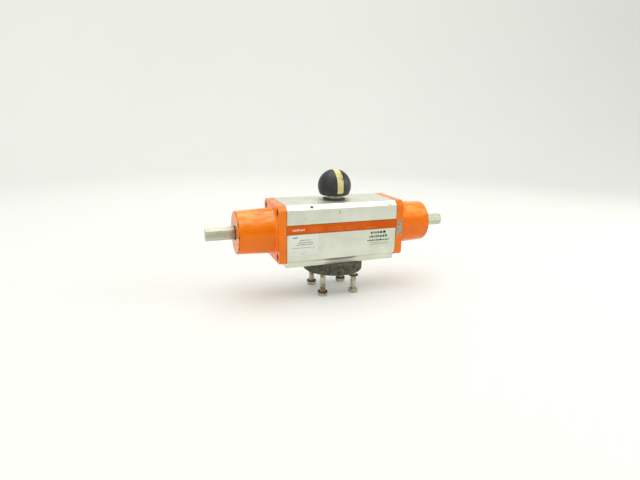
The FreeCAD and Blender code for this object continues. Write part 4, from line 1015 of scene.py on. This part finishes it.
def film(name, node, material):
    """A sticker with rounded corners and a thin edge."""
    low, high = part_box(node)
    radius, thick = 1.6 * MM, 0.12 * MM
    corners = [(low.x, low.z, radius), (high.x, low.z, radius),
               (high.x, high.z, radius), (low.x, high.z, radius)]
    mesh = bmesh.new()
    prism(mesh, rounded(corners, 5), BODY_LOW.y - thick, BODY_LOW.y + 0.005 * MM, "Y")
    return settle(object_from(name, mesh), "housing", material, node)


def add_bars(name, bars, plane_y, material):
    """Thin raised bars on a front face: each bar is (left, low, wide, tall) in metres."""
    mesh = bmesh.new()
    for left, low, wide, tall in bars:
        cube = bmesh.ops.create_cube(mesh, size=1.0)
        scale = Matrix.Diagonal((wide, INK_THICK, tall, 1.0))
        centre = Vector((left + wide / 2, plane_y - INK_THICK / 2, low + tall / 2))
        bmesh.ops.transform(mesh, matrix=Matrix.Translation(centre) @ scale, verts=cube["verts"])
    piece = linked(name, mesh_from(name, mesh))
    piece.data.materials.append(material)
    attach(piece, "housing")


def word_row(left, right, low, tall, shortest, longest, gap, seed):
    """Blocks of random length, like a line of print seen from too far away to read."""
    draw = random.Random(seed)
    bars, at = [], left
    while at < right - shortest:
        wide = min(draw.uniform(shortest, longest), right - at)
        bars.append((at, low, wide, tall * draw.uniform(0.72, 1.0)))
        at += wide + gap
    return bars


def word_rows(left, top, rows, words, seed):
    """Rows of print below a corner, each (start, end, drop, tall) in millimetres."""
    bars = []
    for i, (start, end, drop, tall) in enumerate(rows):
        bars += word_row(left + start * MM, left + end * MM, top - drop * MM, tall * MM, *words, seed + i)
    return bars


def add_print():
    """Greeked print on both labels and on the band."""
    dark = ink_material("print_dark", (0.008, 0.008, 0.010), (0.12, 0.12, 0.11), 0.5)
    grey = ink_material("print_grey", (0.09, 0.095, 0.09), (0.45, 0.47, 0.41), 0.8)
    blue = ink_material("print_blue", (0.05, 0.16, 0.42), (0.40, 0.50, 0.60), 0.6)
    white = ink_material("print_white", (0.76, 0.66, 0.52), (0.66, 0.20, 0.06), 0.7)
    faint = ink_material("print_faint", (0.70, 0.36, 0.20), (0.60, 0.12, 0.02), 0.8)
    film_face = FRONT_Y - 0.115 * MM

    low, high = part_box("label_left")
    left, top = low.x + 5 * MM, high.z
    rows = [(10, 26, 8.2, 1.3), (8, 30, 11.6, 1.3), (6, 30, 14.6, 1.5)]
    bars = word_rows(left, top, rows, (0.7 * MM, 2.2 * MM, 0.5 * MM), 10)
    add_bars("label_left_rows", bars, film_face, grey)
    foot = word_rows(left, top, [(-1, 33, 18.8, 0.7)], (1 * MM, 4 * MM, 0.6 * MM), 20)
    add_bars("label_left_foot", foot, film_face, grey)
    mark = [(left, top - 4.6 * MM, 7 * MM, 1.6 * MM)]
    add_bars("label_left_mark", mark, film_face, blue)

    low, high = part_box("label_right")
    left, top = low.x + 4 * MM, high.z
    rows = [(1, 27, 5.6, 3.6), (-1, 29, 11.4, 3.6), (-4, 32, 16.6, 2.4)]
    bars = word_rows(left, top, rows, (1.6 * MM, 4.2 * MM, 1.3 * MM), 30)
    add_bars("label_right_rows", bars, film_face, dark)
    rows = [(0, 30, 19.6, 0.7), (0, 30, 22.0, 0.7)]
    small = word_rows(left, top, rows, (0.8 * MM, 2.6 * MM, 0.6 * MM), 40)
    add_bars("label_right_small", small, film_face, grey)

    low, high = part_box("band_front")
    middle = (low.z + high.z) / 2
    bars = word_row(-76 * MM, -58 * MM, middle - 1.9 * MM, 3.4 * MM, 1.6 * MM, 2.6 * MM, 1.0 * MM, 50)
    add_bars("band_print", bars, low.y, white)
    bars = []
    for i, (start, end) in enumerate([(-50, -31), (-24, -3), (4, 22), (28, 34)]):
        for rise in (-3.0, 0.5):
            if (i, rise) != (3, -3.0):
                bars += word_row(start * MM, end * MM, middle + rise * MM, 0.55 * MM, 0.6 * MM, 2.4 * MM,
                                 0.9 * MM, 60 + i)
    add_bars("band_small_print", bars, low.y, faint)


# ---- stage, light and camera ----


def bowl_mesh(floor_radius, curve_radius, wall_height):
    """A round floor that curves up into a wall, seen as one seamless surface."""
    profile = [(0, 0), (0, floor_radius * 0.5), (0, floor_radius)]
    profile += arc(curve_radius, floor_radius, curve_radius, 180, 90, 16)[1:]
    profile.append((wall_height, floor_radius + curve_radius))
    mesh = bmesh.new()
    lathe(mesh, profile, closed=False)
    made = mesh_from("stage_bowl", mesh)
    made.shade_smooth()
    return made


def add_stage():
    stage = linked("stage_bowl", bowl_mesh(floor_radius=1.5, curve_radius=0.8, wall_height=2.6))
    g = Graph("stage_white", roughness=0.75)
    tone = g.noise(1.2, 2.0)
    white = g.mix(tone, (0.710, 0.718, 0.705), (0.740, 0.748, 0.735))
    # painted shade: the bowl is painted darker towards its front, behind the camera
    shaded_front_end = g.ramp(g.axes()[1], -2.1, -1.3, 1.0, 0.0)
    stage.data.materials.append(g.finish(g.mix(shaded_front_end, white, (0.20, 0.20, 0.19))))


def add_lamp(name, position, aim, width, depth, watts, color):
    lamp = bpy.data.lights.new(name, "AREA")
    lamp.shape = "RECTANGLE"
    lamp.size, lamp.size_y = width, depth
    lamp.energy = watts
    lamp.color = color
    holder = linked(name, lamp)
    holder.location = position
    holder.rotation_euler = (Vector(aim) - Vector(position)).to_track_quat("-Z", "Y").to_euler()
    return lamp


def add_light():
    world = bpy.data.worlds.new("studio")
    bpy.context.scene.world = world
    world.use_nodes = True
    sky = world.node_tree.nodes["Background"]
    sky.inputs["Color"].default_value = (1.0, 1.0, 0.94, 1.0)
    sky.inputs["Strength"].default_value = 0.40
    white, warm = (1.0, 0.995, 0.965), (1.0, 0.99, 0.93)
    add_lamp("overhead", (0.0, 0.0, 1.9), (0.0, 0.0, 0.0), 2.2, 2.25, 15.0, white)
    # lightens the shadow under the part; it casts none of its own
    fill = add_lamp("overhead_fill", (0.0, 0.0, 1.91), (0.0, 0.0, 0.0), 2.2, 2.25, 25.0, white)
    fill.use_shadow = False
    add_lamp("left", (-1.5, -0.5, 0.9), (0.0, 0.0, 0.08), 0.8, 0.8, 3.0, white)
    add_lamp("right", (1.4, -0.5, 0.7), (0.0, 0.0, 0.12), 0.8, 0.8, 8.0, warm)
    add_lamp("front_fill", (-0.9, -1.2, 0.5), (0.0, 0.0, 0.08), 0.9, 0.7, 2.0, warm)
    add_lamp("wall_wash", (0.0, 0.9, 1.5), (0.0, 2.3, 0.3), 2.0, 0.4, 7.0, warm)


def add_camera():
    """The photograph's viewpoint: 21 degrees round to the left, 15 degrees down, wide lens."""
    yaw, pitch, roll = math.radians(20.77), math.radians(15.25), math.radians(1.09)
    forward = Vector((math.sin(yaw) * math.cos(pitch), math.cos(yaw) * math.cos(pitch), -math.sin(pitch)))
    level = Vector((math.cos(yaw), -math.sin(yaw), 0.0))
    up = level.cross(forward)
    right = level * math.cos(roll) + up * math.sin(roll)
    above = up * math.cos(roll) - level * math.sin(roll)
    lens = bpy.data.cameras.new("camera")
    lens.sensor_width, lens.lens = 36.0, 25.57
    lens.clip_start, lens.clip_end = 0.01, 20.0
    holder = linked("camera", lens)
    turn = Matrix((right, above, -forward)).transposed().to_4x4()
    holder.matrix_world = Matrix.Translation((-0.2545, -0.6157, 0.2581)) @ turn
    bpy.context.scene.camera = holder


def set_look():
    view = bpy.context.scene.view_settings
    view.view_transform, view.look, view.exposure = "Standard", "None", 0.0


build_pieces(dress_frame())
add_print()
add_stage()
add_light()
add_camera()
set_look()
